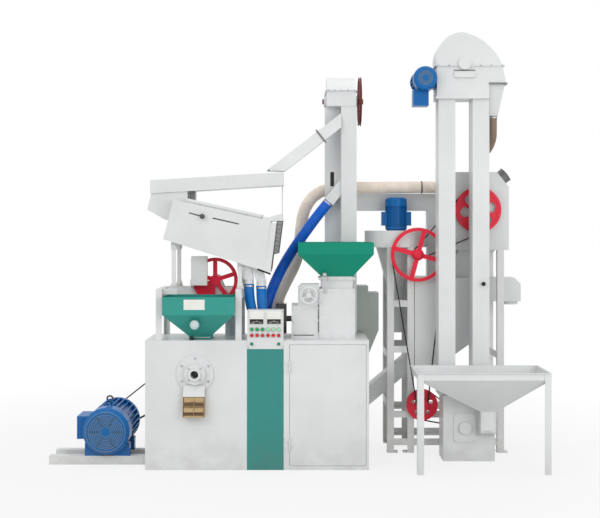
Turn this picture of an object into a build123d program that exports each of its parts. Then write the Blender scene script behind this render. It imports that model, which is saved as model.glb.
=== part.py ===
"""Combined rice huller and mill with its elevators, cleaner and feed hopper.

Millimetres. +X runs to the right seen from the front, +Y to the back, +Z up.
The origin is on the floor, under the middle of the cabinet.
"""
import os
from math import cos, pi, radians, sin, tan

from build123d import *

# Sheet, plate and clearances
SHEET = 3.0
PLATE = 6.0
SEAT_GAP = 0.3
SHAFT_GAP = 0.05
ANGLE_T = 5.0

# Cabinet
CABINET_W = 1546.0
CABINET_D = 480.0
CABINET_H = 894.0
CENTRE_BAY_X = 57.0
CENTRE_BAY_W = 253.0
PANEL_GAP = 2.0
DOOR_STILE = 40.0
DOOR_RAIL = 30.0
DOOR_FLANGE = 20.0
HINGE_R = 7.0
HINGE_PIN_R = 3.0
HINGE_KNUCKLE = 26.0
HINGE_INSET = 150.0

# Control box
CONTROL_D = 100.0
CONTROL_DROP = 58.0
CONTROL_RISE = 211.0
BUTTON_R = 11.0
BUTTON_PROUD = 12.0
BUTTON_INSIDE = 14.0
BUTTON_PITCH = 37.3
BUTTON_COUNT = 6
START_ROW = 77.0
STOP_ROW = 36.0
LAMP_ROW = -22.0
METER_ROW = 155.0
METER_W = 102.0
METER_H = 88.0
METER_PROUD = 9.0

# Rice mill
MILL_X = -426.0
MILL_Z = CABINET_H - 228.0
MILL_FLANGE_R = 126.0
MILL_RING_R = 72.0
MILL_NOZZLE_R = 41.0
MILL_BORE_R = 28.0
MILL_FLANGE_T = 14.0
MILL_RING_T = 34.0
MILL_NOZZLE_T = 26.0
MILL_BARREL_R = 96.0
MILL_BARREL_WALL = 12.0
MILL_BARREL_L = 300.0
MILL_ROLLER_R = 62.0
MILL_SHAFT_R = 25.0
MILL_BEARING_R = 58.0
MILL_THROAT_W = 110.0
CHUTE_W = 149.0
CHUTE_TOP = 589.0
CHUTE_H = 214.0
CHUTE_PROUD = 72.0
LOUVRE_COUNT = 4

# Mill hopper, heights above the cabinet
MILL_HOPPER_W = 494.0
MILL_HOPPER_D = 310.0
MILL_HOPPER_FRONT = -60.0
MILL_HOPPER_SHIFT = 25.0
MILL_RIM_LOW = 181.0
MILL_RIM_TOP = 303.0
MILL_NECK_H = 24.0
PORT_R = 36.0
PORT_Z = 113.0
GATE_T = 4.0
GATE_KNOB_R = 14.0

# Paddy separator, heights above the cabinet
SEP_LEFT = -702.0
SEP_RIGHT = -108.0
SEP_D = 442.0
SEP_H = 353.0
SEP_POST = 42.0
SEP_BEAM = 69.0
BEAM_W = 40.0
BEAM_Y = 75.0
DECK_D = 420.0
DECK_WALL = 5.0
DECK_TOP_LEFT = (-582.0, 974.0)
DECK_TOP_RIGHT = (94.0, 826.0)
DECK_LOW_RIGHT = (50.0, 476.0)
DECK_LOW_LEFT = (-654.0, 699.0)
TRAY_COUNT = 5
TRAY_T = 3.0
MOUTH_RAIL = 0.1
TROUGH_LEFT = -761.0
TROUGH_L = 941.0
TROUGH_LOW = 1021.0
TROUGH_RISE = 58.0
TROUGH_H = 93.0
TROUGH_D = 200.0
CHUTE_L = 262.0
CHUTE_LEAN = 22.0
CHUTE_DROP = 115.0
CHUTE_FOOT = 140.0
TROUGH_POST = 42.0
HOOD_REACH = 88.0
HOOD_H = 50.0
END_STRIP = 40.0
SPOUT_R = 34.0
SPOUT_X = (-63.0, 24.0)
SPOUT_LOW = (385.0, 371.0)
SPOUT_Y = -95.0
SPOUT_STUB = 30.0
SPOUT_MOUTH = ((-35.0, 48.0), (-30.0, 38.0))
ROCKER_X = (-585.0, -122.0)
ROCKER_PIVOT = 28.0
ROCKER_TOP = (636.0, 491.0)
ROCKER_EYE = 20.0
ROCKER_T = 12.0
ROCKER_PIN_R = 10.0
ROCKER_PLAY = 0.6
LUG_T = 14.0
LUG_INSET = 45.0
FLYWHEEL_X = -312.0
FLYWHEEL_Z = 404.0
FLYWHEEL_R = 161.0
FLYWHEEL_W = 30.0
FLYWHEEL_SHAFT_R = 18.0

# Husker, heights above the cabinet
HUSKER_X = 558.0
HUSKER_W = 251.0
HUSKER_D = 320.0
HUSKER_FRONT = 130.0
HUSKER_H = 348.0
NECK_H = 86.0
NECK_W = 222.0
NECK_D = 240.0
ROLLER_R = 70.0
ROLLER_L = 152.0
ROLLER_NIP = 2.0
ROLLER_Z = 133.0
ROLLER_SHAFT_R = 20.0
GEARBOX_W = 196.0
GEARBOX_H = 228.0
GEARBOX_Z = 20.0
SCREW_BOX_W = 150.0
SCREW_BOX_H = 152.0
GEAR_TEETH = (20, 26)
GEAR_FACE = 40.0
HUSKER_PULLEY_R = 115.0
HUSKER_PULLEY_W = 77.0
HANDWHEEL_R = 64.0
HANDWHEEL_Z = 307.0
HUSKER_HOPPER_W = 531.0
HUSKER_HOPPER_D = 390.0
HUSKER_RIM_LOW = 592.0
HUSKER_RIM_TOP = 676.0
LEVER_L = 120.0

# Rear elevator
REAR_X = 599.5
REAR_LEG_W = 114.0
REAR_LEG_D = 100.0
REAR_STAND_OFF = 10.0
REAR_LEG_SPAN = 310.0
REAR_RECESS = 110.0
REAR_DROP_D = 90.0
REAR_BOOT_H = 420.0
REAR_HEAD_Z = 2574.0
REAR_HEAD_H = 114.0
REAR_HOOD_H = 122.0
REAR_SHAFT_R = 20.0
REAR_WHEEL_R = 186.0
SPOUT_PIPE = 84.0

# Front elevator
FRONT_X = 1478.0
FRONT_LEG_W = 120.0
FRONT_LEG_D = 170.0
FRONT_LEG_SPAN = 245.0
FRONT_LEG_Y = 60.0
FRONT_BOOT_H = 471.0
FRONT_BOOT_W = 369.0
FRONT_BOOT_SHIFT = 30.0
BOOT_SHAFT_Z = 241.0
HEAD_SHAFT_Z = 2851.0
HEAD_DROP = 250.0
HEAD_D = 200.0
DRUM_R = 110.0
FRONT_SHAFT_R = 20.0
BUCKET_PITCH = 260.0
BUCKET_REACH = 45.0
BELT_T = 6.0
HEAD_MOTOR_R = 85.0
HEAD_MOTOR_L = 260.0

# Cleaner and destoner
CLEANER_FRONT = 296.0
CLEANER_BACK = 717.0
CLEANER_LEFT = 946.0
CLEANER_MID = 1095.0
CLEANER_RIGHT = 1764.0
POST_LEG = 50.0
FAN_X = 1033.0
FAN_Y = 530.0
FAN_R = 253.0
FAN_LOW = 1528.0
FAN_FLANGE_T = 12.0
FAN_H = 125.0
CONE_R = 154.0
CONE_LOW_R = 62.0
CONE_H = 330.0
FAN_MOTOR_R = 83.0
FAN_MOTOR_H = 252.0
SIEVE_LEFT = 1383.0
SIEVE_W = 469.0
SIEVE_FRONT = 305.0
SIEVE_D = 405.0
SIEVE_LOW = 1508.0
SIEVE_H = 581.0
SIEVE_CUT = 100.0
DESTONER_LEFT = 1150.0
DESTONER_W = 480.0
DESTONER_LOW = 770.0
DESTONER_H = 530.0
DUCT_LOW = 1807.0
DUCT_H = 133.0
DUCT_Y = 622.0
DUCT_D = 86.0

# Belt drives of the cleaner
BELT_FRONT_Y = 253.0
BELT_BACK_Y = 277.0
RIM_W = 18.0
RIM_T = 22.0
WEB_HUB_R = 48.0
WEB_RECESS = 0.22
VBELT_W = 13.0
VBELT_T = 8.0
GROOVE_W = 14.0
GROOVE_D = 9.0
DESTONER_WHEEL = (1168.0, 1475.0, 200.0)
SIEVE_WHEEL = (1618.0, 1807.0, 170.0)
DRIVE_WHEEL = (1201.0, 362.0, 116.0)
SMALL_R = 43.0
BOOT_PULLEY_R = 45.0
WHEEL_SHAFT_R = 17.0

# Feed hopper
FEED_W = 895.0
FEED_D = 405.0
FEED_LEFT = 1096.0
FEED_RIM_Z = 688.0
FEED_FASCIA = 49.0
FEED_OUT_X = 1626.0
FEED_OUT_W = 112.0
FEED_OUT_Z = 374.0
FEED_LEG = 44.0
FEED_LIP = 12.0
GATE_LIFT_W = 94.0
GATE_LIFT_H = 84.0

# Main motor
MOTOR_X = -1066.0
MOTOR_Z = 241.0
MOTOR_FRONT = -140.0
MOTOR_BODY_R = 150.0
MOTOR_COVER_R = 165.0
MOTOR_L = 520.0
FIN_H = 24.0
FIN_T = 7.0
FIN_COUNT = 28
RAIL_H = 62.0
RAIL_W = 60.0
RAIL_LEFT = -1476.0
RAIL_Y = (-77.0, 128.0)
DRIVE_Y = 400.0
DRIVE_W = 90.0
MOTOR_PULLEY_R = 85.0
MILL_PULLEY_R = 150.0
MAIN_BELTS = 3

# Hoses: routes in X, Y, Z from one fitting to the other
RETURN_HOSE_R = 39.0
RETURN_ROUTE = [
    (509.0, 305.0, 1865.0), (425.0, 300.0, 1763.0), (345.0, 294.0, 1652.0),
    (262.0, 284.0, 1538.0), (185.0, 245.0, 1415.0), (120.0, 180.0, 1290.0),
    (72.0, 122.0, 1170.0), (44.0, 92.0, 1060.0), (35.0, 82.0, 970.0), (35.0, 82.0, 894.0),
]
SUCTION_HOSE_R = 46.0
SUCTION_ROUTE = [
    (1383.0, 505.0, 1984.0), (1130.0, 505.0, 1984.0), (800.0, 505.0, 1980.0),
    (540.0, 503.0, 1984.0), (400.0, 496.0, 1926.0), (325.0, 485.0, 1810.0),
    (302.0, 470.0, 1660.0), (292.0, 440.0, 1510.0), (255.0, 395.0, 1390.0),
    (195.0, 330.0, 1280.0), (140.0, 262.0, 1170.0), (112.0, 214.0, 1060.0),
    (100.0, 196.0, 970.0), (100.0, 196.0, 894.0),
]
FEED_HOSE_R = 29.0
FEED_ROUTE = [
    (1703.0, 145.0, 2486.0), (1703.0, 145.0, 2410.0), (1712.0, 200.0, 2325.0),
    (1700.0, 290.0, 2260.0), (1665.0, 380.0, 2215.0), (1630.0, 446.0, 2165.0),
    (1630.0, 446.0, 2089.0),
]

LEFT, RIGHT = -CABINET_W / 2, CABINET_W / 2
FRONT, BACK = -CABINET_D / 2, CABINET_D / 2
CENTRE_LEFT = CENTRE_BAY_X - CENTRE_BAY_W / 2
CENTRE_RIGHT = CENTRE_BAY_X + CENTRE_BAY_W / 2


def place(axis, p, q, along):
    """A point from its two cross coordinates, in X, Y, Z order, and the one along the axis."""
    return {"X": (along, p, q), "Y": (p, along, q), "Z": (p, q, along)}[axis]


def block(x, y, z):
    """A box between low and high values on each axis."""
    middle = Pos((x[0] + x[1]) / 2, (y[0] + y[1]) / 2, (z[0] + z[1]) / 2)
    return middle * Box(x[1] - x[0], y[1] - y[0], z[1] - z[0])


def rod(axis, centre, radius, span):
    """A cylinder along an axis."""
    base = Plane(origin=place(axis, *centre, span[0]), z_dir=place(axis, 0, 0, 1))
    return extrude(base * Circle(radius), amount=span[1] - span[0])


def tube(axis, centre, outer, inner, span):
    """A cylinder with a bore right through."""
    return rod(axis, centre, outer, span) - rod(axis, centre, inner, (span[0] - 1, span[1] + 1))


def prism(axis, points, span):
    """A polygon of cross coordinates, extruded along an axis."""
    outline = Polyline([place(axis, p, q, span[0]) for p, q in points], close=True)
    return extrude(make_face(outline), amount=span[1] - span[0], dir=place(axis, 0, 0, 1))


def angle_bar(axis, corner, toward, span, leg):
    """An angle section with its heel at the corner and its legs pointing toward (+-1, +-1)."""
    p, q = corner
    a, b = toward
    points = [(p, q), (p + a * leg, q), (p + a * leg, q + b * ANGLE_T), (p + a * ANGLE_T, q + b * ANGLE_T),
              (p + a * ANGLE_T, q + b * leg), (p, q + b * leg)]
    return prism(axis, points, span)


def rectangle(x, y, z):
    """A flat face at one height."""
    return Pos((x[0] + x[1]) / 2, (y[0] + y[1]) / 2, z) * Rectangle(x[1] - x[0], y[1] - y[0])


def grow(span, amount):
    """A span made longer, or shorter with a negative amount, at both ends."""
    return (span[0] - amount, span[1] + amount)


def slab(low, high):
    """A solid between two four-cornered outlines, each listed the same way round."""
    sides = [[low[i], low[(i + 1) % 4], high[(i + 1) % 4], high[i]] for i in range(4)]
    faces = [Face(Wire.make_polygon(loop, close=True)) for loop in (low, high, *sides)]
    return Solid(Shell(faces))


def corners(x, y, z):
    """The corners of a level rectangle, in order round it."""
    return [(x[0], y[0], z), (x[1], y[0], z), (x[1], y[1], z), (x[0], y[1], z)]


def funnel(top, bottom, z, wall):
    """Four mitred sheets between two rectangles of X and Y spans: front, right, back, left."""
    outer = [corners(*bottom, z[0]), corners(*top, z[1])]
    inner = [corners(grow(bottom[0], -wall), grow(bottom[1], -wall), z[0]),
             corners(grow(top[0], -wall), grow(top[1], -wall), z[1])]
    sheets = []
    for i in range(4):
        j = (i + 1) % 4
        low, high = ([out[i], out[j], inside[j], inside[i]] for out, inside in zip(outer, inner))
        sheets.append(slab(low, high))
    return sheets


def inset(points, wall):
    """A polygon moved inward by a wall, its points running anticlockwise."""
    moved = []
    for i, (p, q) in enumerate(points):
        before, after = points[i - 1], points[(i + 1) % len(points)]
        first = Vector(p - before[0], q - before[1]).normalized()
        second = Vector(after[0] - p, after[1] - q).normalized()
        reach = wall / (1 + first.dot(second))
        moved.append((p - reach * (first.Y + second.Y), q + reach * (first.X + second.X)))
    return moved


def along(start, end, share):
    """A point between two others."""
    return tuple(a + (b - a) * share for a, b in zip(start, end))


def wall_ring(x, y, z, wall):
    """Four upright sheets round a rectangle: front, right, back, left."""
    inside = grow(y, -wall)
    return [block(x, (y[0], y[0] + wall), z), block((x[1] - wall, x[1]), inside, z),
            block(x, (y[1] - wall, y[1]), z), block((x[0], x[0] + wall), inside, z)]


def square_tube(x, y, z, wall):
    """An upright square tube, open at both ends."""
    return block(x, y, z) - block(grow(x, -wall), grow(y, -wall), grow(z, 1))


def hollow(axis, points, span, wall):
    """A closed sheet casing over a polygon."""
    face = make_face(Polyline([place(axis, p, q, span[0] + wall) for p, q in points], close=True))
    core = extrude(offset(face, -wall, kind=Kind.INTERSECTION), amount=span[1] - span[0] - 2 * wall,
                   dir=place(axis, 0, 0, 1))
    return prism(axis, points, span) - core


def group(*shapes):
    """Separate solids of one node."""
    return Compound([solid for shape in shapes for solid in shape.solids()])


def front_plane(x, z, y):
    """A plane that faces the front, with its local X to the right and local Y up."""
    return Plane(origin=(x, y, z), x_dir=(1, 0, 0), z_dir=(0, -1, 0))


def groove(radius, middle):
    """The ring that a belt groove takes out of a rim."""
    low, high = middle - GROOVE_W / 2, middle + GROOVE_W / 2
    return tube("Z", (0, 0), radius + 1, radius - GROOVE_D, (low, high))


def spoked_wheel(radius, width, hub_r, bore_r, spokes, first, spoke_w, rim_t):
    """A belt wheel on local Z, with straight spokes between hub and rim."""
    wheel = tube("Z", (0, 0), radius, radius - rim_t, (0, width)) - groove(radius, width / 2)
    wheel += rod("Z", (0, 0), hub_r, (0, width))
    reach = radius - rim_t / 2
    for turn in range(spokes):
        arm = Pos(reach / 2, 0, width / 2) * Box(reach, spoke_w, width * 0.6)
        wheel += Rot(0, 0, first + turn * 360 / spokes) * arm
        wheel -= groove(radius, width / 2)
    return wheel - rod("Z", (0, 0), bore_r, (-1, width + 1))


def disc_wheel(radius, width, bore_r, holes, hole_r, hole_circle, first):
    """A belt wheel on local Z, with round lightening holes in a web thinner than its rim and hub."""
    wheel = rod("Z", (0, 0), radius, (0, width)) - groove(radius, width / 2)
    for face in ((-1, width * WEB_RECESS), (width * (1 - WEB_RECESS), width + 1)):
        wheel -= tube("Z", (0, 0), radius - RIM_T, WEB_HUB_R, face)
    for turn in range(holes):
        angle = radians(first + turn * 360 / holes)
        wheel -= rod("Z", (hole_circle * cos(angle), hole_circle * sin(angle)), hole_r, (-1, width + 1))
    return wheel - rod("Z", (0, 0), bore_r, (-1, width + 1))


def belt(first, second, middle, width, thick):
    """A flat loop round two wheels in an XZ plane, each given as X, Z and the radius it lies on."""
    def hull(extra):
        rings = [Pos(x, z) * Circle(r + extra) for x, z, r in (first, second)]
        return make_hull(rings[0].edges() + rings[1].edges())
    loop = extrude(hull(thick), amount=width) - extrude(hull(0), amount=width)
    return front_plane(0, 0, middle + width / 2).location * loop


def groove_floor(wheel, play=SEAT_GAP):
    """Where a belt lies in a wheel's groove."""
    x, z, radius = wheel
    return (x, z, radius - GROOVE_D + play)


def hose(route, radius):
    """A plain tube along straight runs joined by tangent arcs."""
    points = [Vector(*point) for point in route]
    radii = []
    for before, corner, after in zip(points, points[1:], points[2:]):
        turn = radians((corner - before).get_angle(after - corner))
        shorter = min((corner - before).length, (after - corner).length)
        radii.append(0.45 * shorter / tan(turn / 2))
    path = FilletPolyline(*points, radius=radii)
    section = Plane(origin=points[0], z_dir=points[1] - points[0]) * Circle(radius)
    return sweep(section, path=path)


def cabinet():
    """Sheet carcass in three bays, with its left panel and the door's frame of four strips."""
    depth = (FRONT + SHEET, BACK - SHEET)
    inside = (SHEET, CABINET_H - SHEET)
    pieces = [block((LEFT, RIGHT), (FRONT + SHEET, BACK), (0, SHEET))]
    back = block((LEFT, RIGHT), (BACK - SHEET, BACK), inside)
    pieces.append(back - rod("Y", (MILL_X, MILL_Z), MILL_BEARING_R, (BACK - SHEET, BACK)))
    for x in (LEFT + SHEET / 2, CENTRE_LEFT, CENTRE_RIGHT, RIGHT - SHEET / 2):
        pieces.append(block(grow((x, x), SHEET / 2), depth, inside))
    shelf_top = CABINET_H - CONTROL_DROP
    bay = grow((CENTRE_LEFT, CENTRE_RIGHT), -SHEET / 2)
    pieces.append(block(bay, (FRONT + SHEET, FRONT + CONTROL_D), (shelf_top - SHEET, shelf_top)))
    top = block((LEFT, RIGHT), (FRONT + SHEET, BACK), (CABINET_H - SHEET, CABINET_H))
    top -= block(bay, (FRONT, FRONT + CONTROL_D), (CABINET_H - SHEET, CABINET_H))
    throat_x = grow((mill_middle(), mill_middle()), MILL_THROAT_W / 2)
    throat_y = grow((mill_throat_y(), mill_throat_y()), MILL_THROAT_W / 2)
    top -= block(throat_x, throat_y, (CABINET_H - SHEET, CABINET_H))
    top -= block(grow((HUSKER_X, HUSKER_X), NECK_W / 2), husker_y(-PLATE), (CABINET_H - SHEET, CABINET_H))
    pieces.append(top)
    panel = block((LEFT, CENTRE_LEFT - PANEL_GAP / 2), (FRONT, FRONT + SHEET), (0, CABINET_H))
    pieces.append(panel - rod("Y", (MILL_X, MILL_Z), MILL_BARREL_R, (FRONT, FRONT + SHEET)))
    return group(*pieces, *door_frame())


def door_frame():
    """Two stiles and two rails round the door, with the fixed hinge leaves on the left stile."""
    gap_x, gap_z = grow(door_x(), PANEL_GAP), grow(door_z(), PANEL_GAP)
    face = (FRONT, FRONT + SHEET)
    left = block((CENTRE_RIGHT + PANEL_GAP / 2, gap_x[0]), face, (0, CABINET_H))
    for z in hinge_heights():
        for side in (-1, 1):
            low = z + side * HINGE_KNUCKLE - HINGE_KNUCKLE / 2 + SEAT_GAP
            left += hinge_knuckle(low, HINGE_KNUCKLE - 2 * SEAT_GAP, -1)
        left += rod("Z", hinge_axis(), HINGE_PIN_R,
                    (z - 1.5 * HINGE_KNUCKLE + 1, z + 1.5 * HINGE_KNUCKLE - 1))
    right = block((gap_x[1], RIGHT), face, (0, CABINET_H))
    rails = [block(gap_x, face, z) for z in ((0, gap_z[0]), (gap_z[1], CABINET_H))]
    return [left, right, *rails]


def mill_middle():
    return MILL_X + MILL_HOPPER_SHIFT


def door_x():
    return (CENTRE_RIGHT + DOOR_STILE + PANEL_GAP, RIGHT - DOOR_STILE / 2)


def door_z():
    return (DOOR_RAIL, CABINET_H - DOOR_RAIL)


def hinge_axis():
    return (door_x()[0] - PANEL_GAP / 2, FRONT - HINGE_R - 1)


def hinge_heights():
    return (door_z()[0] + HINGE_INSET, door_z()[1] - HINGE_INSET)


def hinge_knuckle(low, height, side):
    """A hinge eye and its leaf, which lies on the panel to that side."""
    x, y = hinge_axis()
    leaf_x = (x + side * PANEL_GAP, x + side * (PANEL_GAP + 4 * HINGE_R))
    leaf = block(sorted(leaf_x), (FRONT - SHEET, FRONT), (low, low + height))
    web = block(sorted((x + side * HINGE_PIN_R * 1.6, leaf_x[1])), (FRONT - SHEET - 1, FRONT - 0.6),
                (low, low + height))
    eye = rod("Z", (x, y), HINGE_R, (low, low + height))
    return eye + leaf + web - rod("Z", (x, y), HINGE_PIN_R + (SHAFT_GAP if side > 0 else 0),
                                  (low - 1, low + height + 1))


def cabinet_door():
    """A folded door pan with two hinge leaves and a round lock."""
    pan = block(door_x(), (FRONT, FRONT + DOOR_FLANGE), door_z())
    pan -= block(grow(door_x(), -SHEET), (FRONT + SHEET, FRONT + DOOR_FLANGE), grow(door_z(), -SHEET))
    for z in hinge_heights():
        pan += hinge_knuckle(z - HINGE_KNUCKLE / 2, HINGE_KNUCKLE, 1)
    lock = (door_x()[1] - DOOR_STILE, CABINET_H / 2)
    return pan + rod("Y", lock, HINGE_R * 2, (FRONT - HINGE_R, FRONT))


def centre_panel():
    x = grow((CENTRE_LEFT, CENTRE_RIGHT), -PANEL_GAP / 2)
    return block(x, (FRONT, FRONT + SHEET), (0, CABINET_H - CONTROL_DROP - PANEL_GAP))


def button_places():
    """X of each button column."""
    first = CENTRE_BAY_X - BUTTON_PITCH * (BUTTON_COUNT - 1) / 2
    return [first + BUTTON_PITCH * column for column in range(BUTTON_COUNT)]


def control_box():
    x = grow((CENTRE_LEFT, CENTRE_RIGHT), -SHEET / 2)
    z = (CABINET_H - CONTROL_DROP, CABINET_H + CONTROL_RISE)
    box = block(x, (FRONT, FRONT + CONTROL_D), z)
    box -= block(grow(x, -SHEET), grow((FRONT, FRONT + CONTROL_D), -SHEET), grow(z, -SHEET))
    for row in (START_ROW, STOP_ROW):
        for column in button_places():
            box -= rod("Y", (column, CABINET_H + row), BUTTON_R + SHAFT_GAP, (FRONT, FRONT + SHEET))
    return box


def push_button(column, row):
    cap = rod("Y", (column, CABINET_H + row), BUTTON_R, (FRONT - BUTTON_PROUD, FRONT + SHEET + BUTTON_INSIDE))
    return cap


def panel_instruments():
    """Two panel meters and two pilot lamps on the control box."""
    pieces = []
    for side in (-1, 1):
        x = CENTRE_BAY_X + side * (METER_W / 2 + SHEET * 3)
        z = CABINET_H + METER_ROW
        meter = block(grow((x, x), METER_W / 2), (FRONT - METER_PROUD, FRONT), grow((z, z), METER_H / 2))
        pieces.append(chamfer(meter.faces().sort_by(Axis.Y)[0].edges(), SHEET))
        lamp_x = button_places()[0 if side < 0 else -1]
        pieces.append(rod("Y", (lamp_x, CABINET_H + LAMP_ROW), BUTTON_R * 1.3, (FRONT - METER_PROUD, FRONT)))
    return group(*pieces)


def mill_throat_y():
    return FRONT + MILL_HOPPER_D / 2


def mill_casing():
    """Barrel between the front panel and the back wall, with its front flange, nozzle and bearing."""
    centre = (MILL_X, MILL_Z)
    barrel_end = FRONT + MILL_BARREL_L
    barrel = rod("Y", centre, MILL_BARREL_R, (FRONT, barrel_end))
    throat_x = grow((mill_middle(), mill_middle()), MILL_THROAT_W / 2 - PLATE)
    throat_y = grow((mill_throat_y(), mill_throat_y()), MILL_THROAT_W / 2 - PLATE)
    throat_z = (MILL_Z, CABINET_H - SHEET - MILL_FLANGE_T)
    barrel += block(throat_x, throat_y, throat_z)
    barrel += rod("Y", centre, MILL_BEARING_R, (barrel_end, BACK + PLATE * 4))
    barrel += rod("Y", centre, MILL_FLANGE_R, (FRONT - MILL_FLANGE_T, FRONT))
    ring_front = FRONT - MILL_FLANGE_T - MILL_RING_T
    barrel += rod("Y", centre, MILL_RING_R, (ring_front, FRONT - MILL_FLANGE_T))
    barrel += rod("Y", centre, MILL_NOZZLE_R, (ring_front - MILL_NOZZLE_T, ring_front))
    chamber = (FRONT + PLATE, barrel_end - MILL_BARREL_WALL)
    barrel -= rod("Y", centre, MILL_BARREL_R - MILL_BARREL_WALL, chamber)
    barrel -= rod("Y", centre, MILL_BORE_R, (ring_front - MILL_NOZZLE_T, FRONT + PLATE))
    barrel -= rod("Y", centre, MILL_SHAFT_R + SHAFT_GAP, (barrel_end - MILL_BARREL_WALL, BACK + PLATE * 4))
    barrel -= block(grow(throat_x, -PLATE), grow(throat_y, -PLATE), throat_z)
    return barrel


def mill_rotor():
    """Milling roller, shaft and the grooved pulley behind the cabinet."""
    centre = (MILL_X, MILL_Z)
    roller = (FRONT + PLATE * 3, FRONT + MILL_BARREL_L - MILL_BARREL_WALL - PLATE)
    rotor = rod("Y", centre, MILL_SHAFT_R, (roller[0], DRIVE_Y + DRIVE_W))
    rotor += rod("Y", centre, MILL_ROLLER_R, roller)
    return rotor + drive_pulley_body(centre, MILL_PULLEY_R)


def drive_pulley_body(centre, radius):
    """A pulley with grooves for the main belts, on the plane behind the cabinet."""
    body = rod("Y", centre, radius, (DRIVE_Y, DRIVE_Y + DRIVE_W))
    for middle in main_belt_planes():
        body -= tube("Y", centre, radius + 1, radius - GROOVE_D, grow((middle, middle), GROOVE_W / 2))
    return body


def main_belt_planes():
    pitch = DRIVE_W / MAIN_BELTS
    return [DRIVE_Y + pitch * (count + 0.5) for count in range(MAIN_BELTS)]


def mill_outlet_chute():
    """Stepped discharge chute on the left panel, split by a divider."""
    x = (MILL_X - CHUTE_W / 2 - PLATE, MILL_X + CHUTE_W / 2 - PLATE)
    low = CHUTE_TOP - CHUTE_H
    cover_low = CHUTE_TOP - CHUTE_H * 0.36
    profile = [(FRONT, CHUTE_TOP), (FRONT - PLATE * 3, CHUTE_TOP), (FRONT - CHUTE_PROUD * 0.55, cover_low),
               (FRONT, cover_low)]
    step = (cover_low - low) / LOUVRE_COUNT
    chute = prism("X", profile, x)
    for count in range(LOUVRE_COUNT):
        top = cover_low - step * count
        reach = CHUTE_PROUD * (0.62 + 0.38 * count / (LOUVRE_COUNT - 1))
        louvre = [(FRONT, top), (FRONT - reach * 0.72, top), (FRONT - reach, top - step), (FRONT, top - step)]
        chute += prism("X", louvre, grow(x, -SHEET * 2))
    for edge in (x[0], (x[0] + x[1]) / 2, x[1] - SHEET):
        cheek = [(FRONT, cover_low), (FRONT - CHUTE_PROUD * 0.55, cover_low),
                 (FRONT - CHUTE_PROUD - SHEET, low),
                 (FRONT, low)]
        chute += prism("X", cheek, (edge, edge + SHEET))
    return chute - rod("Y", (MILL_X, MILL_Z), MILL_FLANGE_R, (FRONT - MILL_FLANGE_T, FRONT))


def mill_hopper_spans():
    middle = mill_middle()
    rim_x = grow((middle, middle), MILL_HOPPER_W / 2)
    rim_y = (FRONT + MILL_HOPPER_FRONT, FRONT + MILL_HOPPER_FRONT + MILL_HOPPER_D)
    neck_x = grow((middle, middle), MILL_THROAT_W / 2 + PLATE * 4)
    neck_y = grow((mill_throat_y(), mill_throat_y()), MILL_THROAT_W / 2 + PLATE * 4)
    return rim_x, rim_y, neck_x, neck_y


def mill_hopper():
    """Pyramid hopper of bent sheets with an upright rim, a sight port and a slotted neck for its gate."""
    rim_x, rim_y, neck_x, neck_y = mill_hopper_spans()
    low = CABINET_H + MILL_NECK_H
    rim = (CABINET_H + MILL_RIM_LOW, CABINET_H + MILL_RIM_TOP)
    sheets = funnel((rim_x, rim_y), (neck_x, neck_y), (low, rim[0]), SHEET)
    port = (MILL_X, CABINET_H + PORT_Z)
    port_y = (rim_y[0] - SHEET, neck_y[0])
    inside = slab(corners(grow(neck_x, -SHEET), grow(neck_y, -SHEET), low),
                  corners(grow(rim_x, -SHEET), grow(rim_y, -SHEET), rim[0]))
    front = sheets[0] + (rod("Y", port, PORT_R, port_y) - inside)
    sheets[0] = front - rod("Y", port, PORT_R - SHEET, grow(port_y, SHEET))
    slot = gate_slot_z()
    neck = wall_ring(neck_x, neck_y, (CABINET_H, low), SHEET)
    below = block(neck_x, (neck_y[0], neck_y[0] + SHEET), (CABINET_H, slot[0]))
    above = block(neck_x, (neck_y[0], neck_y[0] + SHEET), (slot[1], low))
    ledge = block(grow(neck_x, -SHEET), (neck_y[1] - SHEET * 4, neck_y[1] - SHEET),
                  (slot[0] - SHEET, slot[0]))
    return group(*sheets, *wall_ring(rim_x, rim_y, rim, SHEET), below, above, *neck[1:], ledge)


def gate_slot_z():
    low = CABINET_H + MILL_NECK_H / 2
    return (low, low + GATE_T + 2 * SEAT_GAP)


def mill_gate():
    """Slide plate in the mill hopper's neck, with its black pull knob."""
    _, _, neck_x, neck_y = mill_hopper_spans()
    slot = gate_slot_z()
    z = (slot[0] + SEAT_GAP, slot[0] + SEAT_GAP + GATE_T)
    plate = block(grow(neck_x, -SHEET - 1), (neck_y[0] - PLATE * 3, neck_y[1] - SHEET - 1), z)
    middle = sum(z) / 2
    knob_x = MILL_X - MILL_THROAT_W / 4
    stem = rod("Y", (knob_x, middle), GATE_T, (neck_y[0] - PLATE * 6, neck_y[0] - PLATE * 2))
    return plate + stem + rod("Y", (knob_x, middle), GATE_KNOB_R,
                              (neck_y[0] - PLATE * 9, neck_y[0] - PLATE * 6))


def channel(axis, p, q, span):
    """A channel section that fills a rectangle of cross coordinates, open to the high side of the first."""
    outer = [(p[0], q[0]), (p[1], q[0]), (p[1], q[0] + PLATE), (p[0] + PLATE, q[0] + PLATE),
             (p[0] + PLATE, q[1] - PLATE), (p[1], q[1] - PLATE), (p[1], q[1]), (p[0], q[1])]
    return prism(axis, outer, span)


def bearing_block(axis, centre, foot, half_width, shaft_r, span):
    """A pillow block on a flat foot, with a round top over its bore."""
    p, q = centre
    body = prism(axis, [(p - half_width, foot), (p + half_width, foot), (p + shaft_r * 2, q),
                        (p - shaft_r * 2, q)], span)
    body += rod(axis, centre, shaft_r * 2, span)
    return body - rod(axis, centre, shaft_r + SHAFT_GAP, grow(span, 1))


def rocker_planes():
    """Front face of each row of rocker lugs."""
    return (FRONT + LUG_INSET + LUG_T * 3, BACK - LUG_INSET - LUG_T * 2)


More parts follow.
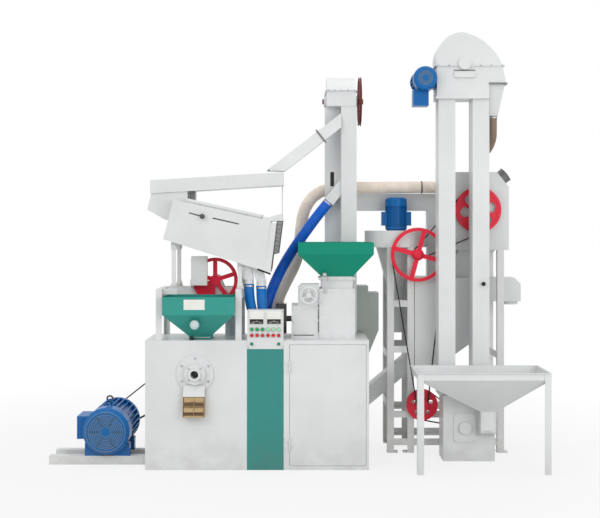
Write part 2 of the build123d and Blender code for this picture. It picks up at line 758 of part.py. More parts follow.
def separator_frame():
    """Four posts, two side rails, two cross beams, the shaft's bearings, rocker lugs and the wheel guard."""
    low, high = CABINET_H + SEP_H - SEP_BEAM, CABINET_H + SEP_H
    y = (-SEP_D / 2, SEP_D / 2)
    pieces = []
    for x, side in ((SEP_LEFT, 1), (SEP_RIGHT, -1)):
        for corner, toward in ((y[0], 1), (y[1], -1)):
            pieces.append(angle_bar("Z", (x, corner), (side, toward), (CABINET_H, low), SEP_POST))
        rail = (x, x + side * SEP_POST)
        pieces.append(block(sorted(rail), y, (low, high)))
    inner = (SEP_LEFT + SEP_POST, SEP_RIGHT - SEP_POST)
    for middle in (BEAM_Y, y[1] - BEAM_W / 2):
        beam = grow((middle, middle), BEAM_W / 2)
        pieces.append(channel("X", beam, (low, high), inner))
        pieces.append(bearing_block("Y", (FLYWHEEL_X, CABINET_H + FLYWHEEL_Z), high, SEP_POST * 1.4,
                                    FLYWHEEL_SHAFT_R, beam))
    for face in rocker_planes():
        lug_y = (face, face + LUG_T)
        for x in ROCKER_X:
            foot = grow((x, x), ROCKER_EYE * 1.3)
            lug = prism("Y", [(foot[0], high), (foot[1], high), (x + ROCKER_EYE, high + ROCKER_PIVOT),
                              (x - ROCKER_EYE, high + ROCKER_PIVOT)], lug_y)
            lug += rod("Y", (x, high + ROCKER_PIVOT), ROCKER_EYE, lug_y)
            lug += rod("Y", (x, high + ROCKER_PIVOT), ROCKER_PIN_R, (face - ROCKER_T - PLATE, face))
            pieces.append(lug)
        pieces.append(block((SEP_LEFT + SEP_POST, ROCKER_X[0] + ROCKER_EYE * 1.3), grow(lug_y, PLATE),
                            (high - BEAM_W, high)))
    guard_x = (FLYWHEEL_X - FLYWHEEL_R - SHEET, FLYWHEEL_X - FLYWHEEL_R + 110)
    guard_y = (BEAM_Y - BEAM_W / 2 - FLYWHEEL_W - 75, BEAM_Y - BEAM_W / 2 - FLYWHEEL_W - 15)
    guard = block(guard_x, guard_y, (high + 17, high + 223))
    guard -= block(grow(guard_x, -SHEET), grow(guard_y, -SHEET), (high + 16, high + 223 - SHEET))
    pieces.append(guard)
    pieces.append(block((guard_x[0] - PLATE, guard_x[0]), (guard_y[0], BEAM_Y + BEAM_W / 2),
                        (high, high + 60)))
    return group(*pieces)


def rocker_arms(side):
    """A pair of flat arms that carry one end of the deck."""
    x = ROCKER_X[side]
    low = CABINET_H + SEP_H + ROCKER_PIVOT
    top = CABINET_H + ROCKER_TOP[side]
    arms = []
    for face in rocker_planes():
        y = (face - SEAT_GAP - ROCKER_T, face - SEAT_GAP)
        arm = block(grow((x, x), ROCKER_EYE * 0.7), y, (low, top))
        arm += rod("Y", (x, low), ROCKER_EYE, y) + rod("Y", (x, top), ROCKER_EYE, y)
        arm -= rod("Y", (x, low), ROCKER_PIN_R + SHAFT_GAP, y)
        arms.append(arm - rod("Y", (x, top), ROCKER_PIN_R + ROCKER_PLAY, y))
    return group(*arms)


def deck_point(corner):
    return (corner[0], CABINET_H + corner[1])


def deck_bottom(x):
    """Height of the deck's underside at an X."""
    left, right = deck_point(DECK_LOW_LEFT), deck_point(DECK_LOW_RIGHT)
    return left[1] + (right[1] - left[1]) * (x - left[0]) / (right[0] - left[0])


def deck_top(x):
    """Height of the deck's lid at an X."""
    left, right = deck_point(DECK_TOP_LEFT), deck_point(DECK_TOP_RIGHT)
    return left[1] + (right[1] - left[1]) * (x - left[0]) / (right[0] - left[0])


def deck_outline():
    return [deck_point(c) for c in (DECK_LOW_LEFT, DECK_LOW_RIGHT, DECK_TOP_RIGHT, DECK_TOP_LEFT)]


def deck_y():
    return (-DECK_D / 2 + DECK_WALL * 2, DECK_D / 2 + DECK_WALL * 2)


def tray_box():
    """Sheet walls of the tilted box, its right end open between two rails, and the trays inside."""
    outer = deck_outline()
    inner = inset(outer, DECK_WALL)
    inside = grow(deck_y(), -DECK_WALL)
    pieces = [prism("Y", outer, sorted(span)) for span in zip(deck_y(), inside)]
    for i in (0, 2, 3):
        j = (i + 1) % 4
        pieces.append(prism("Y", [outer[i], outer[j], inner[j], inner[i]], inside))
    for low, high in ((0, MOUTH_RAIL), (1 - MOUTH_RAIL, 1)):
        rail = [along(outer[1], outer[2], low), along(outer[1], outer[2], high),
                along(inner[1], inner[2], high), along(inner[1], inner[2], low)]
        pieces.append(prism("Y", rail, inside))
    room = prism("Y", inner, inside)
    for count in range(1, TRAY_COUNT + 1):
        left_x, left_z = along(inner[0], inner[3], count / (TRAY_COUNT + 1))
        right_x, right_z = along(inner[1], inner[2], count / (TRAY_COUNT + 1))
        end = (right_x - DECK_WALL * 6, right_z + TRAY_T * 3)
        tray = [(left_x, left_z), end, (end[0], end[1] + TRAY_T), (left_x, left_z + TRAY_T)]
        pieces.append(prism("Y", tray, inside) & room)
    return pieces


def trough_floor(x):
    """Height of the feed trough's underside at an X."""
    return CABINET_H + TROUGH_LOW + TROUGH_RISE * (x - TROUGH_LEFT) / TROUGH_L


def sloped(height, x, rise):
    """A band that follows a sloping line between two rises above it."""
    return [(x[0], height(x[0]) + rise[0]), (x[1], height(x[1]) + rise[0]),
            (x[1], height(x[1]) + rise[1]), (x[0], height(x[0]) + rise[1])]


def feed_trough(y):
    """Open sloping trough of five sheets."""
    x = (TROUGH_LEFT, TROUGH_LEFT + TROUGH_L)
    pieces = [prism("Y", sloped(trough_floor, x, (0, SHEET)), y)]
    wall = (SHEET, TROUGH_H)
    for span in ((y[0], y[0] + SHEET), (y[1] - SHEET, y[1])):
        pieces.append(prism("Y", sloped(trough_floor, x, wall), span))
    for span in ((x[0], x[0] + SHEET), (x[1] - SHEET, x[1])):
        pieces.append(prism("Y", sloped(trough_floor, span, wall), grow(y, -SHEET)))
    return pieces


def deck_spouts(body):
    """Tapered outlets under the deck's low end, each with a round stub for its hose."""
    pieces = []
    for x, low, (shift, half) in zip(SPOUT_X, SPOUT_LOW, SPOUT_MOUTH):
        stub = CABINET_H + low
        throat = corners(grow((x, x), SPOUT_R), grow((SPOUT_Y, SPOUT_Y), SPOUT_R), stub + SPOUT_STUB)
        mouth_z = deck_bottom(x + shift - half)
        mouth = corners(grow((x + shift, x + shift), half), grow((SPOUT_Y, SPOUT_Y), SPOUT_MOUTH[0][1]),
                        mouth_z)
        pieces.append(slab(throat, mouth) - body)
        pieces.append(rod("Z", (x, SPOUT_Y), SPOUT_R, (stub, stub + SPOUT_STUB)))
    return pieces


def separator_deck():
    """Tilted tray box with its feed trough, end hood, outlet spouts and rocker lugs."""
    y = deck_y()
    outer = deck_outline()
    body = prism("Y", outer, y)
    left, right = outer[3][0], outer[2][0]
    top = outer[2][1]
    start, end = TROUGH_LEFT + SHEET * 2, TROUGH_LEFT + CHUTE_L
    root = right - DECK_WALL * 12
    pieces = tray_box()
    lid_x = (end + DECK_WALL, root - DECK_WALL)
    pieces.append(prism("Y", sloped(deck_top, lid_x, (0, SHEET * 4)), grow(y, -DECK_WALL * 5)))
    tip, edge = (right + HOOD_REACH, top), (right + HOOD_REACH * 0.8, top + HOOD_H)
    hood = [(root, deck_top(root)), outer[2], tip, edge, (right - DECK_WALL * 4, top + HOOD_H / 2),
            (root, deck_top(root) + SHEET * 6)]
    pieces.append(prism("Y", hood, grow(y, -DECK_WALL * 3)))
    strip = [outer[1], (outer[1][0] + END_STRIP, outer[1][1] - DECK_WALL * 4),
             (right + END_STRIP, top - DECK_WALL * 3), (right, top - DECK_WALL * 3)]
    for span in ((y[0], y[0] + DECK_WALL * 4), (y[1] - DECK_WALL * 4, y[1])):
        pieces.append(prism("Y", strip, span) - body)
    middle = sum(y) / 2
    trough_y = grow((middle, middle), TROUGH_D / 2)
    pieces += feed_trough(trough_y)
    foot = outer[3][1] - CHUTE_FOOT
    chute = [(start, trough_floor(start)), (TROUGH_LEFT - CHUTE_LEAN, trough_floor(start) - CHUTE_DROP),
             (outer[0][0], foot), (left, foot), (end, deck_top(end)), (end, trough_floor(end))]
    pieces.append(prism("Y", chute, grow(trough_y, -SHEET * 4)) - body)
    span = (end + DECK_WALL * 2, end + DECK_WALL * 2 + TROUGH_POST)
    post = [(at, deck_top(at) + SHEET * 4) for at in span] + [(at, trough_floor(at)) for at in reversed(span)]
    pieces.append(prism("Y", post, grow((middle, middle), TROUGH_POST)))
    hanger = [along(edge, tip, 0.1), along(edge, tip, 0.6)]
    hanger += [(x, trough_floor(x)) for x, _ in reversed(hanger)]
    pieces.append(prism("Y", hanger, grow((middle, middle), PLATE * 3)))
    pieces += deck_spouts(body)
    for face in rocker_planes():
        for x, height in zip(ROCKER_X, ROCKER_TOP):
            pivot = CABINET_H + height
            lug = block(grow((x, x), ROCKER_EYE), (face, face + LUG_T),
                        (pivot, deck_bottom(x) + DECK_WALL * 2))
            lug += rod("Y", (x, pivot), ROCKER_EYE, (face, face + LUG_T))
            lug -= body
            pieces.append(lug + rod("Y", (x, pivot), ROCKER_PIN_R, (face - ROCKER_T - PLATE, face)))
    return group(*pieces)


def separator_pulley():
    """Flywheel with a counterweight between two of its spokes, and its shaft."""
    wheel = spoked_wheel(FLYWHEEL_R, FLYWHEEL_W, 38, FLYWHEEL_SHAFT_R - 1, 5, 18, 30, 24)
    weight = [(0, 0), (-FLYWHEEL_R * 0.9, -FLYWHEEL_R * 0.1), (-FLYWHEEL_R * 0.62, -FLYWHEEL_R * 0.62),
              (0, -FLYWHEEL_R * 0.9)]
    sector = extrude(make_face(Polyline(weight, close=True)), amount=FLYWHEEL_W * 0.7)
    sector &= rod("Z", (0, 0), FLYWHEEL_R - 14, (0, FLYWHEEL_W))
    back = BEAM_Y - BEAM_W / 2 - SEAT_GAP * 4
    centre = (FLYWHEEL_X, CABINET_H + FLYWHEEL_Z)
    wheel = front_plane(*centre, back).location * (wheel + sector)
    return wheel + rod("Y", centre, FLYWHEEL_SHAFT_R, (back - FLYWHEEL_W, SEP_D / 2 + PLATE))


def husker_y(extra=0.0):
    return grow((FRONT + HUSKER_FRONT, FRONT + HUSKER_FRONT + HUSKER_D), extra)


def roller_centres():
    """Y and Z of the fast roller, in front, and of the slow one."""
    middle = sum(husker_y()) / 2
    reach = ROLLER_R + ROLLER_NIP / 2
    return ((middle - reach, CABINET_H + ROLLER_Z), (middle + reach, CABINET_H + ROLLER_Z))


def husker_left():
    return HUSKER_X - HUSKER_W / 2


def husker_casing():
    """Roller housing with its neck, gear housing and screw housing."""
    x = grow((HUSKER_X, HUSKER_X), HUSKER_W / 2)
    top = CABINET_H + HUSKER_H
    body = block(x, husker_y(), (CABINET_H, top))
    body -= block(grow(x, -PLATE), husker_y(-PLATE), (CABINET_H, top - PLATE))
    neck_x, neck_y = grow((HUSKER_X, HUSKER_X),
                          NECK_W / 2), grow((sum(husker_y()) / 2, sum(husker_y()) / 2), NECK_D / 2)
    body += block(neck_x, neck_y, (top, top + NECK_H))
    flange = (top + NECK_H - PLATE * 4, top + NECK_H - PLATE)
    body += block(grow(neck_x, PLATE * 3), grow(neck_y, PLATE * 2), flange)
    body -= block(grow(neck_x, -PLATE), grow(neck_y, -PLATE), (top - PLATE, top + NECK_H))
    box_x = (x[0] - GEARBOX_W, x[0])
    box_y = gearbox_y()
    gears = block(box_x, box_y, (CABINET_H, CABINET_H + GEARBOX_H))
    gears -= block(grow(box_x, -PLATE), grow(box_y, -PLATE),
                   (CABINET_H + GEARBOX_Z, CABINET_H + GEARBOX_H - PLATE))
    screw_x = (x[0] - SCREW_BOX_W, x[0])
    screw_y = (box_y[0], sum(box_y) / 2)
    screw_z = (CABINET_H + GEARBOX_H, CABINET_H + GEARBOX_H + SCREW_BOX_H)
    screws = chamfer(block(screw_x, screw_y, screw_z).edges().filter_by(Axis.Y).group_by(Axis.Z)[-1][0],
                     PLATE * 4)
    bore = rod("Y", handwheel_centre(), PLATE * 2 + SHAFT_GAP, (screw_y[0], screw_y[1] - PLATE))
    screws -= bore
    for count, (y, z) in enumerate(roller_centres()):
        through = rod("X", (y, z), ROLLER_SHAFT_R + SHAFT_GAP, (x[0] - PLATE * 2, x[1]))
        body -= through
        gears -= rod("X", (y, z), ROLLER_SHAFT_R + SHAFT_GAP,
                     (box_x[0] if count == 0 else box_x[0] + PLATE, x[0]))
    return group(body, gears, screws)


def gearbox_y():
    return (husker_y()[0] + PLATE * 2, husker_y()[1] + PLATE * 2)


def handwheel_centre():
    return (husker_left() - SCREW_BOX_W / 2, CABINET_H + HANDWHEEL_Z)


def husker_handwheel():
    """Three-spoked adjusting wheel on its screw."""
    centre = handwheel_centre()
    face = gearbox_y()[0]
    rim = tube("Z", (0, 0), HANDWHEEL_R, HANDWHEEL_R - 16, (-8, 8))
    wheel = chamfer(rim.edges().filter_by(GeomType.CIRCLE), 4)
    for turn in range(3):
        wheel += Rot(0, 0, 90 + turn * 120) * Pos((HANDWHEEL_R - 8) / 2, 0, 0) * Box(HANDWHEEL_R - 8, 12, 8)
    wheel += rod("Z", (0, 0), PLATE * 3, (-14, 14))
    wheel = front_plane(*centre, face - 60).location * wheel
    return wheel + rod("Y", centre, PLATE * 2, (face - 60, face + SCREW_BOX_W / 3))


def gear(teeth, pitch_r, first):
    """A spur gear outline with straight-flanked teeth, on local Z."""
    module = 2 * pitch_r / teeth
    outline = []
    for tooth in range(teeth):
        for share, height in ((-0.33, -1.15), (-0.11, 0.85), (0.11, 0.85), (0.33, -1.15)):
            angle = first + (tooth + share) * 2 * pi / teeth
            radius = pitch_r + height * module
            outline.append((radius * cos(angle), radius * sin(angle)))
    return extrude(make_face(Polyline(outline, close=True)), amount=GEAR_FACE)


def roller(side):
    """A rubber husking roller on its geared shaft; the fast one also carries the drive pulley."""
    y, z = roller_centres()[side]
    left = husker_left()
    span = (HUSKER_X - ROLLER_L / 2, HUSKER_X + ROLLER_L / 2)
    ends = (left - GEARBOX_W - HUSKER_PULLEY_W - PLATE * 6, left - GEARBOX_W + PLATE * 2)
    turning = rod("X", (y, z), ROLLER_SHAFT_R, (ends[side], span[1] + (HUSKER_W - ROLLER_L) / 2))
    turning += rod("X", (y, z), ROLLER_R, span)
    spacing = roller_centres()[1][0] - roller_centres()[0][0]
    pitch = spacing * GEAR_TEETH[side] / sum(GEAR_TEETH)
    first = 0 if side == 0 else pi + pi / GEAR_TEETH[1]
    mesh = Plane(origin=(left - GEARBOX_W / 2, y, z), x_dir=(0, 1, 0),
                 z_dir=(1, 0, 0)).location * gear(GEAR_TEETH[side], pitch, first)
    turning += mesh
    if side == 0:
        pulley = (left - GEARBOX_W - PLATE * 6 - HUSKER_PULLEY_W, left - GEARBOX_W - PLATE * 6)
        turning += rod("X", (y, z), HUSKER_PULLEY_R, pulley)
        for count in range(4):
            middle = pulley[0] + HUSKER_PULLEY_W * (count + 0.5) / 4
            turning -= tube("X", (y, z), HUSKER_PULLEY_R + 1, HUSKER_PULLEY_R - GROOVE_D,
                            grow((middle, middle), GROOVE_W / 2))
    return turning


def husker_hopper():
    """Feed hopper of the husker, open below into the neck."""
    low = CABINET_H + HUSKER_H + NECK_H
    middle_y = sum(husker_y()) / 2
    rim_x = grow((HUSKER_X - 10, HUSKER_X - 10), HUSKER_HOPPER_W / 2)
    rim_y = grow((middle_y - 5, middle_y - 5), HUSKER_HOPPER_D / 2)
    rim = (CABINET_H + HUSKER_RIM_LOW, CABINET_H + HUSKER_RIM_TOP)
    neck = (grow((HUSKER_X, HUSKER_X), NECK_W / 2), grow((middle_y, middle_y), NECK_D / 2))
    return group(*funnel((rim_x, rim_y), neck, (low, rim[0]), SHEET), *wall_ring(rim_x, rim_y, rim, SHEET))


def husker_gate():
    """Feed lever on the front of the roller housing, with a round knob."""
    pivot = (HUSKER_X - HUSKER_W / 2 + PLATE * 7, CABINET_H + HUSKER_H - PLATE * 3)
    face = husker_y()[0]
    y = (face - PLATE - SEAT_GAP, face - SEAT_GAP)
    tip = (pivot[0] - PLATE, pivot[1] + LEVER_L)
    lever = prism("Y", [(pivot[0] - 9, pivot[1]), (pivot[0] + 9, pivot[1]), (tip[0] + 7, tip[1]),
                        (tip[0] - 7, tip[1])], y)
    lever += rod("Y", pivot, PLATE * 2, (y[0] - PLATE, y[1]))
    return lever + rod("Y", tip, PLATE * 2.4, (y[0] - PLATE * 5, y[1]))


def rear_front():
    return BACK + REAR_STAND_OFF


def rear_columns():
    """X spans of the drop duct, on the left, and of the elevator legs."""
    return ((REAR_X - 2 - REAR_LEG_W, REAR_X - 2), (REAR_X + 2, REAR_X + 2 + REAR_LEG_W))


def rear_shaft():
    return (rear_front() + (REAR_LEG_SPAN + REAR_LEG_D) / 2, REAR_HEAD_Z + REAR_HEAD_H / 2)


def rear_elevator_legs():
    """Boot, the elevator's two legs and the recessed drop duct beside them."""
    drop_x, leg_x = rear_columns()
    front = rear_front()
    back = front + REAR_LEG_SPAN + REAR_LEG_D
    pieces = []
    holes = []
    for y in ((front, front + REAR_LEG_D), (back - REAR_LEG_D, back)):
        pieces.append(square_tube(leg_x, y, (REAR_BOOT_H, REAR_HEAD_Z), SHEET))
        holes.append(block(grow(leg_x, -SHEET), grow(y, -SHEET), (REAR_BOOT_H - SHEET, REAR_BOOT_H)))
    drop_y = (front + REAR_RECESS, front + REAR_RECESS + REAR_DROP_D)
    pieces.append(square_tube(drop_x, drop_y, (REAR_BOOT_H, REAR_HEAD_Z), SHEET))
    boot_x = (drop_x[0] - PLATE, leg_x[1] + PLATE)
    boot = block(boot_x, (front, back), (0, REAR_BOOT_H)) - block(grow(boot_x, -SHEET),
                                                                  grow((front, back), -SHEET),
                                                                  (SHEET, REAR_BOOT_H - SHEET))
    for hole in holes:
        boot -= hole
    return group(boot, *pieces)


def rear_elevator_head():
    """Head box with an arched hood, two shaft bearings, and the upper and lower spouts."""
    drop_x, leg_x = rear_columns()
    x = (drop_x[0] + PLATE * 2, leg_x[1] - PLATE)
    y = grow((rear_front(), rear_front() + REAR_LEG_SPAN + REAR_LEG_D), PLATE)
    top = REAR_HEAD_Z + REAR_HEAD_H

    def profile(inset):
        wall_y = grow(y, -inset)
        crown = top + REAR_HOOD_H - inset
        with BuildSketch(Plane(origin=(0, 0, 0), x_dir=(0, 1, 0), z_dir=(1, 0, 0))) as sketch:
            with BuildLine():
                Polyline((wall_y[0], top), (wall_y[0], REAR_HEAD_Z + inset),
                         (wall_y[1], REAR_HEAD_Z + inset), (wall_y[1], top))
                ThreePointArc((wall_y[1], top), (sum(y) / 2, crown), (wall_y[0], top))
            make_face()
        return sketch.sketch

    head = Pos(x[0], 0, 0) * extrude(profile(0), amount=x[1] - x[0])
    head -= Pos(x[0] + SHEET, 0, 0) * extrude(profile(SHEET), amount=x[1] - x[0] - 2 * SHEET)
    flange = block(grow(x, PLATE * 2), grow(y, PLATE * 2), (top - PLATE / 2, top + PLATE / 2))
    head += flange - block(grow(x, -SHEET), grow(y, -SHEET), grow((top, top), PLATE))
    for leg_y in ((y[0] + PLATE, y[0] + PLATE + REAR_LEG_D), (y[1] - PLATE - REAR_LEG_D, y[1] - PLATE)):
        head -= block((leg_x[0] + SHEET, x[1] - SHEET), grow(leg_y, -SHEET),
                      (REAR_HEAD_Z, REAR_HEAD_Z + SHEET))
    for face, outward in ((x[0], -1), (x[1], 1)):
        span = sorted((face, face + outward * PLATE * 3))
        head += rod("X", rear_shaft(), REAR_SHAFT_R * 2.2, span)
    head -= rod("X", rear_shaft(), REAR_SHAFT_R + SHAFT_GAP, grow(x, PLATE * 4))
    start = Vector(leg_x[0] + 40, rear_front() + 50, 2500)
    finish = Vector(88, 10, 2050)
    upper = slanted_pipe(start, finish, SPOUT_PIPE)
    trough_lip = CABINET_H + TROUGH_LOW + TROUGH_RISE + TROUGH_H + 12
    upper -= block((leg_x[0], leg_x[1]), (0, 600), (2000, 2700))
    upper -= block((-300, 400), (-300, 400), (1800, trough_lip))
    first, second = (Vector(*point) for point in RETURN_ROUTE[:2])
    lower = slanted_pipe(first + (first - second).normalized() * 200, first, SPOUT_PIPE - PLATE)
    lower -= block((leg_x[0], leg_x[1]), (0, 600), (1500, 2700))
    return group(head, upper, lower)


def slanted_pipe(start, finish, side):
    """A square pipe between two points, cut square to its axis."""
    base = Plane(origin=start, x_dir=(0, 1, 0), z_dir=finish - start)
    length = (finish - start).length
    pipe = extrude(base * Rectangle(side, side), amount=length)
    return pipe - extrude(base * Rectangle(side - 2 * SHEET, side - 2 * SHEET), amount=length)


def rear_head_shaft():
    """Head shaft with its bucket-belt drum and the spoked wheel outside."""
    drop_x, leg_x = rear_columns()
    y, z = rear_shaft()
    wheel_x = leg_x[1] + PLATE * 4
    shaft = rod("X", (y, z), REAR_SHAFT_R, (drop_x[0] - PLATE * 3, wheel_x + RIM_W * 2))
    shaft += rod("X", (y, z), REAR_HEAD_H / 2 - PLATE * 2, grow(leg_x, -PLATE * 4))
    wheel = spoked_wheel(REAR_WHEEL_R, RIM_W, 34, REAR_SHAFT_R - 1, 5, 0, 26, 22)
    return shaft + Plane(origin=(wheel_x, y, z), x_dir=(0, 1, 0), z_dir=(1, 0, 0)).location * wheel


def front_legs_x():
    """X spans of the two legs."""
    return [grow((FRONT_X + side * FRONT_LEG_SPAN / 2, FRONT_X + side * FRONT_LEG_SPAN / 2),
                 FRONT_LEG_W / 2) for side in (-1, 1)]


def boot_x():
    return grow((FRONT_X + FRONT_BOOT_SHIFT, FRONT_X + FRONT_BOOT_SHIFT), FRONT_BOOT_W / 2)


def leg_y():
    return (FRONT_LEG_Y, FRONT_LEG_Y + FRONT_LEG_D)


def boot_y():
    return (leg_y()[0] - PLATE * 6, leg_y()[1] + PLATE)


def front_elevator_legs():
    """Boot and two legs of the tall elevator, with the boot shaft's bearings."""
    boot = block(boot_x(), boot_y(), (0, FRONT_BOOT_H))
    boot -= block(grow(boot_x(), -SHEET), grow(boot_y(), -SHEET), (SHEET, FRONT_BOOT_H - SHEET))
    pieces = []
    for x in front_legs_x():
        pieces.append(square_tube(x, leg_y(), (FRONT_BOOT_H, HEAD_SHAFT_Z - HEAD_DROP), SHEET))
        boot -= block(grow(x, -SHEET), grow(leg_y(), -SHEET), (FRONT_BOOT_H - SHEET, FRONT_BOOT_H))
    centre = (FRONT_X, BOOT_SHAFT_Z)
    plate_x, plate_z = grow((FRONT_X, FRONT_X), 80), grow((BOOT_SHAFT_Z, BOOT_SHAFT_Z), 104)
    front = boot_y()[0]
    bearing = block(plate_x, (front - PLATE, front), plate_z) + rod("Y", centre, FRONT_SHAFT_R * 2.2,
                                                                    (front - PLATE * 4, front))
    boot -= rod("Y", centre, FRONT_SHAFT_R + SHAFT_GAP, grow(boot_y(), 1))
    bearing -= rod("Y", centre, FRONT_SHAFT_R + SHAFT_GAP, (front - PLATE * 3, front))
    boot -= feed_mouth()
    return group(boot, bearing, *pieces)


def feed_mouth():
    """The opening in the boot's front wall that the feed spout covers."""
    x = (feed_outlet_x()[0] + SHEET, boot_x()[1] - SHEET * 2)
    return block(x, (boot_y()[0], boot_y()[0] + SHEET), (FEED_OUT_Z - 190, FEED_OUT_Z - 30))


def head_profile(inset, y):
    """The head's side outline: an arched hood, flat flanks and a stepped bottom over the outlet."""
    x, z = FRONT_X, HEAD_SHAFT_Z
    low, step = z - HEAD_DROP + inset, z - 135 + inset
    with BuildSketch(front_plane(0, 0, y)) as sketch:
        with BuildLine():
            ThreePointArc((x - 197 + inset, z - 13), (x - 139 + inset, z + 178 - inset),
                          (x - 15, z + 229 - inset))
            ThreePointArc((x - 15, z + 229 - inset), (x + 142 - inset * 0.7, z + 161 - inset * 0.7),
                          (x + 274 - inset, z - 13))
            Polyline((x + 274 - inset, z - 13), (x + 300 - inset, step), (x + 179 - inset, step),
                     (x + 179 - inset, low),
                     (x - 197 + inset, low), (x - 197 + inset, z - 13))
        make_face()
    return sketch.sketch


def head_y():
    return grow(leg_y(), (HEAD_D - FRONT_LEG_D) / 2)


def front_elevator_head():
    """Hollow head over the legs, with its joint flanges, front bearing and outlet funnel."""
    y = head_y()
    head = extrude(head_profile(0, y[1]), amount=y[1] - y[0])
    head -= extrude(head_profile(SHEET, y[1] - SHEET), amount=y[1] - y[0] - 2 * SHEET)
    for x in front_legs_x():
        head -= block(grow(x, -SHEET), grow(leg_y(), -SHEET),
                      (HEAD_SHAFT_Z - HEAD_DROP, HEAD_SHAFT_Z - HEAD_DROP + SHEET))
    outlet_x = (FRONT_X + 182, FRONT_X + 296)
    head -= block(grow(outlet_x, -SHEET * 2), grow(leg_y(), -SHEET * 2),
                  (HEAD_SHAFT_Z - 135, HEAD_SHAFT_Z - 135 + SHEET))
    band = (HEAD_SHAFT_Z - 16, HEAD_SHAFT_Z - 10)
    head += block((FRONT_X - 212, FRONT_X + 290), grow(y, PLATE * 2),
                  band) - block((FRONT_X - 196, FRONT_X + 273), grow(y, -1), grow(band, 1))
    centre = (FRONT_X, HEAD_SHAFT_Z)
    head += rod("Y", centre, FRONT_SHAFT_R * 2.2, (y[0] - PLATE * 4, y[0]))
    head -= rod("Y", centre, FRONT_SHAFT_R + SHAFT_GAP, (y[0] - PLATE * 3, y[1] + PLATE * 3))
    low_x = (FEED_ROUTE[0][0] - FEED_HOSE_R, FEED_ROUTE[0][0] + FEED_HOSE_R)
    low_y = (FEED_ROUTE[0][1] - FEED_HOSE_R, FEED_ROUTE[0][1] + FEED_HOSE_R)
    spout = funnel((outlet_x, leg_y()), (low_x, low_y), (FEED_ROUTE[0][2], HEAD_SHAFT_Z - 135), SHEET)
    return group(head, *spout)


def motor_body(length, radius, fins, fin_h, fin_t):
    """A fan-cooled motor on local Z: a finned stator between a domed end and a fan cover."""
    stator = (length * 0.12, length * 0.74)
    body = rod("Z", (0, 0), radius - fin_h, stator)
    for count in range(fins):
        fin = Pos(radius - fin_h / 2 - 1, 0, sum(stator) / 2) * Box(fin_h + 2, fin_t, stator[1] - stator[0])
        body += Rot(0, 0, (count + 0.5) * 360 / fins) * fin
    shield = rod("Z", (0, 0), radius, (0, stator[0]))
    body += chamfer(shield.edges().sort_by(Axis.Z)[0], length * 0.05)
    cover = rod("Z", (0, 0), radius, (stator[1], length))
    cover = chamfer(cover.edges().sort_by(Axis.Z)[-1], length * 0.05)
    return body + cover


def front_elevator_motor():
    """Head motor with its bracket against the head's left flank and its terminal box."""
    centre = (FRONT_X - 197 - HEAD_MOTOR_R - PLATE, HEAD_SHAFT_Z - 111)
    back = leg_y()[1]
    motor = front_plane(*centre, back).location * motor_body(HEAD_MOTOR_L, HEAD_MOTOR_R, 20, 12, 4)
    motor += block((centre[0], FRONT_X - 197), (back - HEAD_MOTOR_L * 0.6, back - HEAD_MOTOR_L * 0.25),
                   (centre[1] - 60, centre[1] - 20))
    return motor + block((centre[0] - 79, centre[0] + 32),
                         (back - HEAD_MOTOR_L * 0.7, back - HEAD_MOTOR_L * 0.3),
                         (centre[1] - 189, centre[1] - HEAD_MOTOR_R + 14))


def front_shaft(z, radius, back):
    """A shaft of the tall elevator with its drum."""
    shaft = rod("Y", (FRONT_X, z), FRONT_SHAFT_R, (head_y()[0] - PLATE * 2, back))
    return shaft + rod("Y", (FRONT_X, z), radius, grow(leg_y(), -PLATE * 3))


def front_boot_shaft():
    """Boot shaft with its drum and the belt pulley behind the boot."""
    shaft = front_shaft(BOOT_SHAFT_Z, DRUM_R, BELT_BACK_Y + RIM_W)
    pulley = rod("Z", (0, 0), BOOT_PULLEY_R, (0, RIM_W)) - groove(BOOT_PULLEY_R, RIM_W / 2)
    return shaft + front_plane(FRONT_X, BOOT_SHAFT_Z, BELT_BACK_Y + RIM_W / 2).location * pulley


def bucket_loop():
    """Flat belt of the tall elevator with a row of scoop buckets on each run."""
    drums = [(FRONT_X, z, DRUM_R + SEAT_GAP) for z in (BOOT_SHAFT_Z, HEAD_SHAFT_Z)]
    middle = sum(leg_y()) / 2
    pieces = [belt(*drums, middle, FRONT_LEG_D - PLATE * 8, BELT_T)]
    face = DRUM_R + SEAT_GAP + BELT_T
    count = int((HEAD_SHAFT_Z - BOOT_SHAFT_Z) / BUCKET_PITCH)
    for side in (-1, 1):
        for step in range(1, count):
            z = BOOT_SHAFT_Z + step * BUCKET_PITCH
            x = FRONT_X + side * face
            lip = BUCKET_REACH * 0.75
            scoop = [(x, z), (x, z + 80), (x + side * lip, z + 60), (x + side * lip * 0.8, z)]
            pieces.append(prism("Y", scoop, grow((middle, middle), FRONT_LEG_D / 2 - PLATE * 5)))
    return pieces


def wheel_at(wheel, shape, middle, width=RIM_W):
    x, z, _ = wheel
    return front_plane(x, z, middle + width / 2).location * shape


def small_wheel(wheel, middle):
    """A small grooved pulley on the same shaft as a larger wheel."""
    shape = rod("Z", (0, 0), SMALL_R, (0, RIM_W)) - groove(SMALL_R, RIM_W / 2)
    return wheel_at(wheel, shape, middle)


def destoner_pulley():
    """Large spoked wheel with the small pulley that drives the sieve."""
    x, z, radius = DESTONER_WHEEL
    wheel = wheel_at(DESTONER_WHEEL, spoked_wheel(radius, RIM_W, 44, WHEEL_SHAFT_R - 1, 4, 75, 34, 26),
                     BELT_FRONT_Y)
    wheel += small_wheel(DESTONER_WHEEL, BELT_BACK_Y)
    return wheel + rod("Y", (x, z), WHEEL_SHAFT_R, (BELT_FRONT_Y - RIM_W, CLEANER_FRONT + POST_LEG - ANGLE_T))


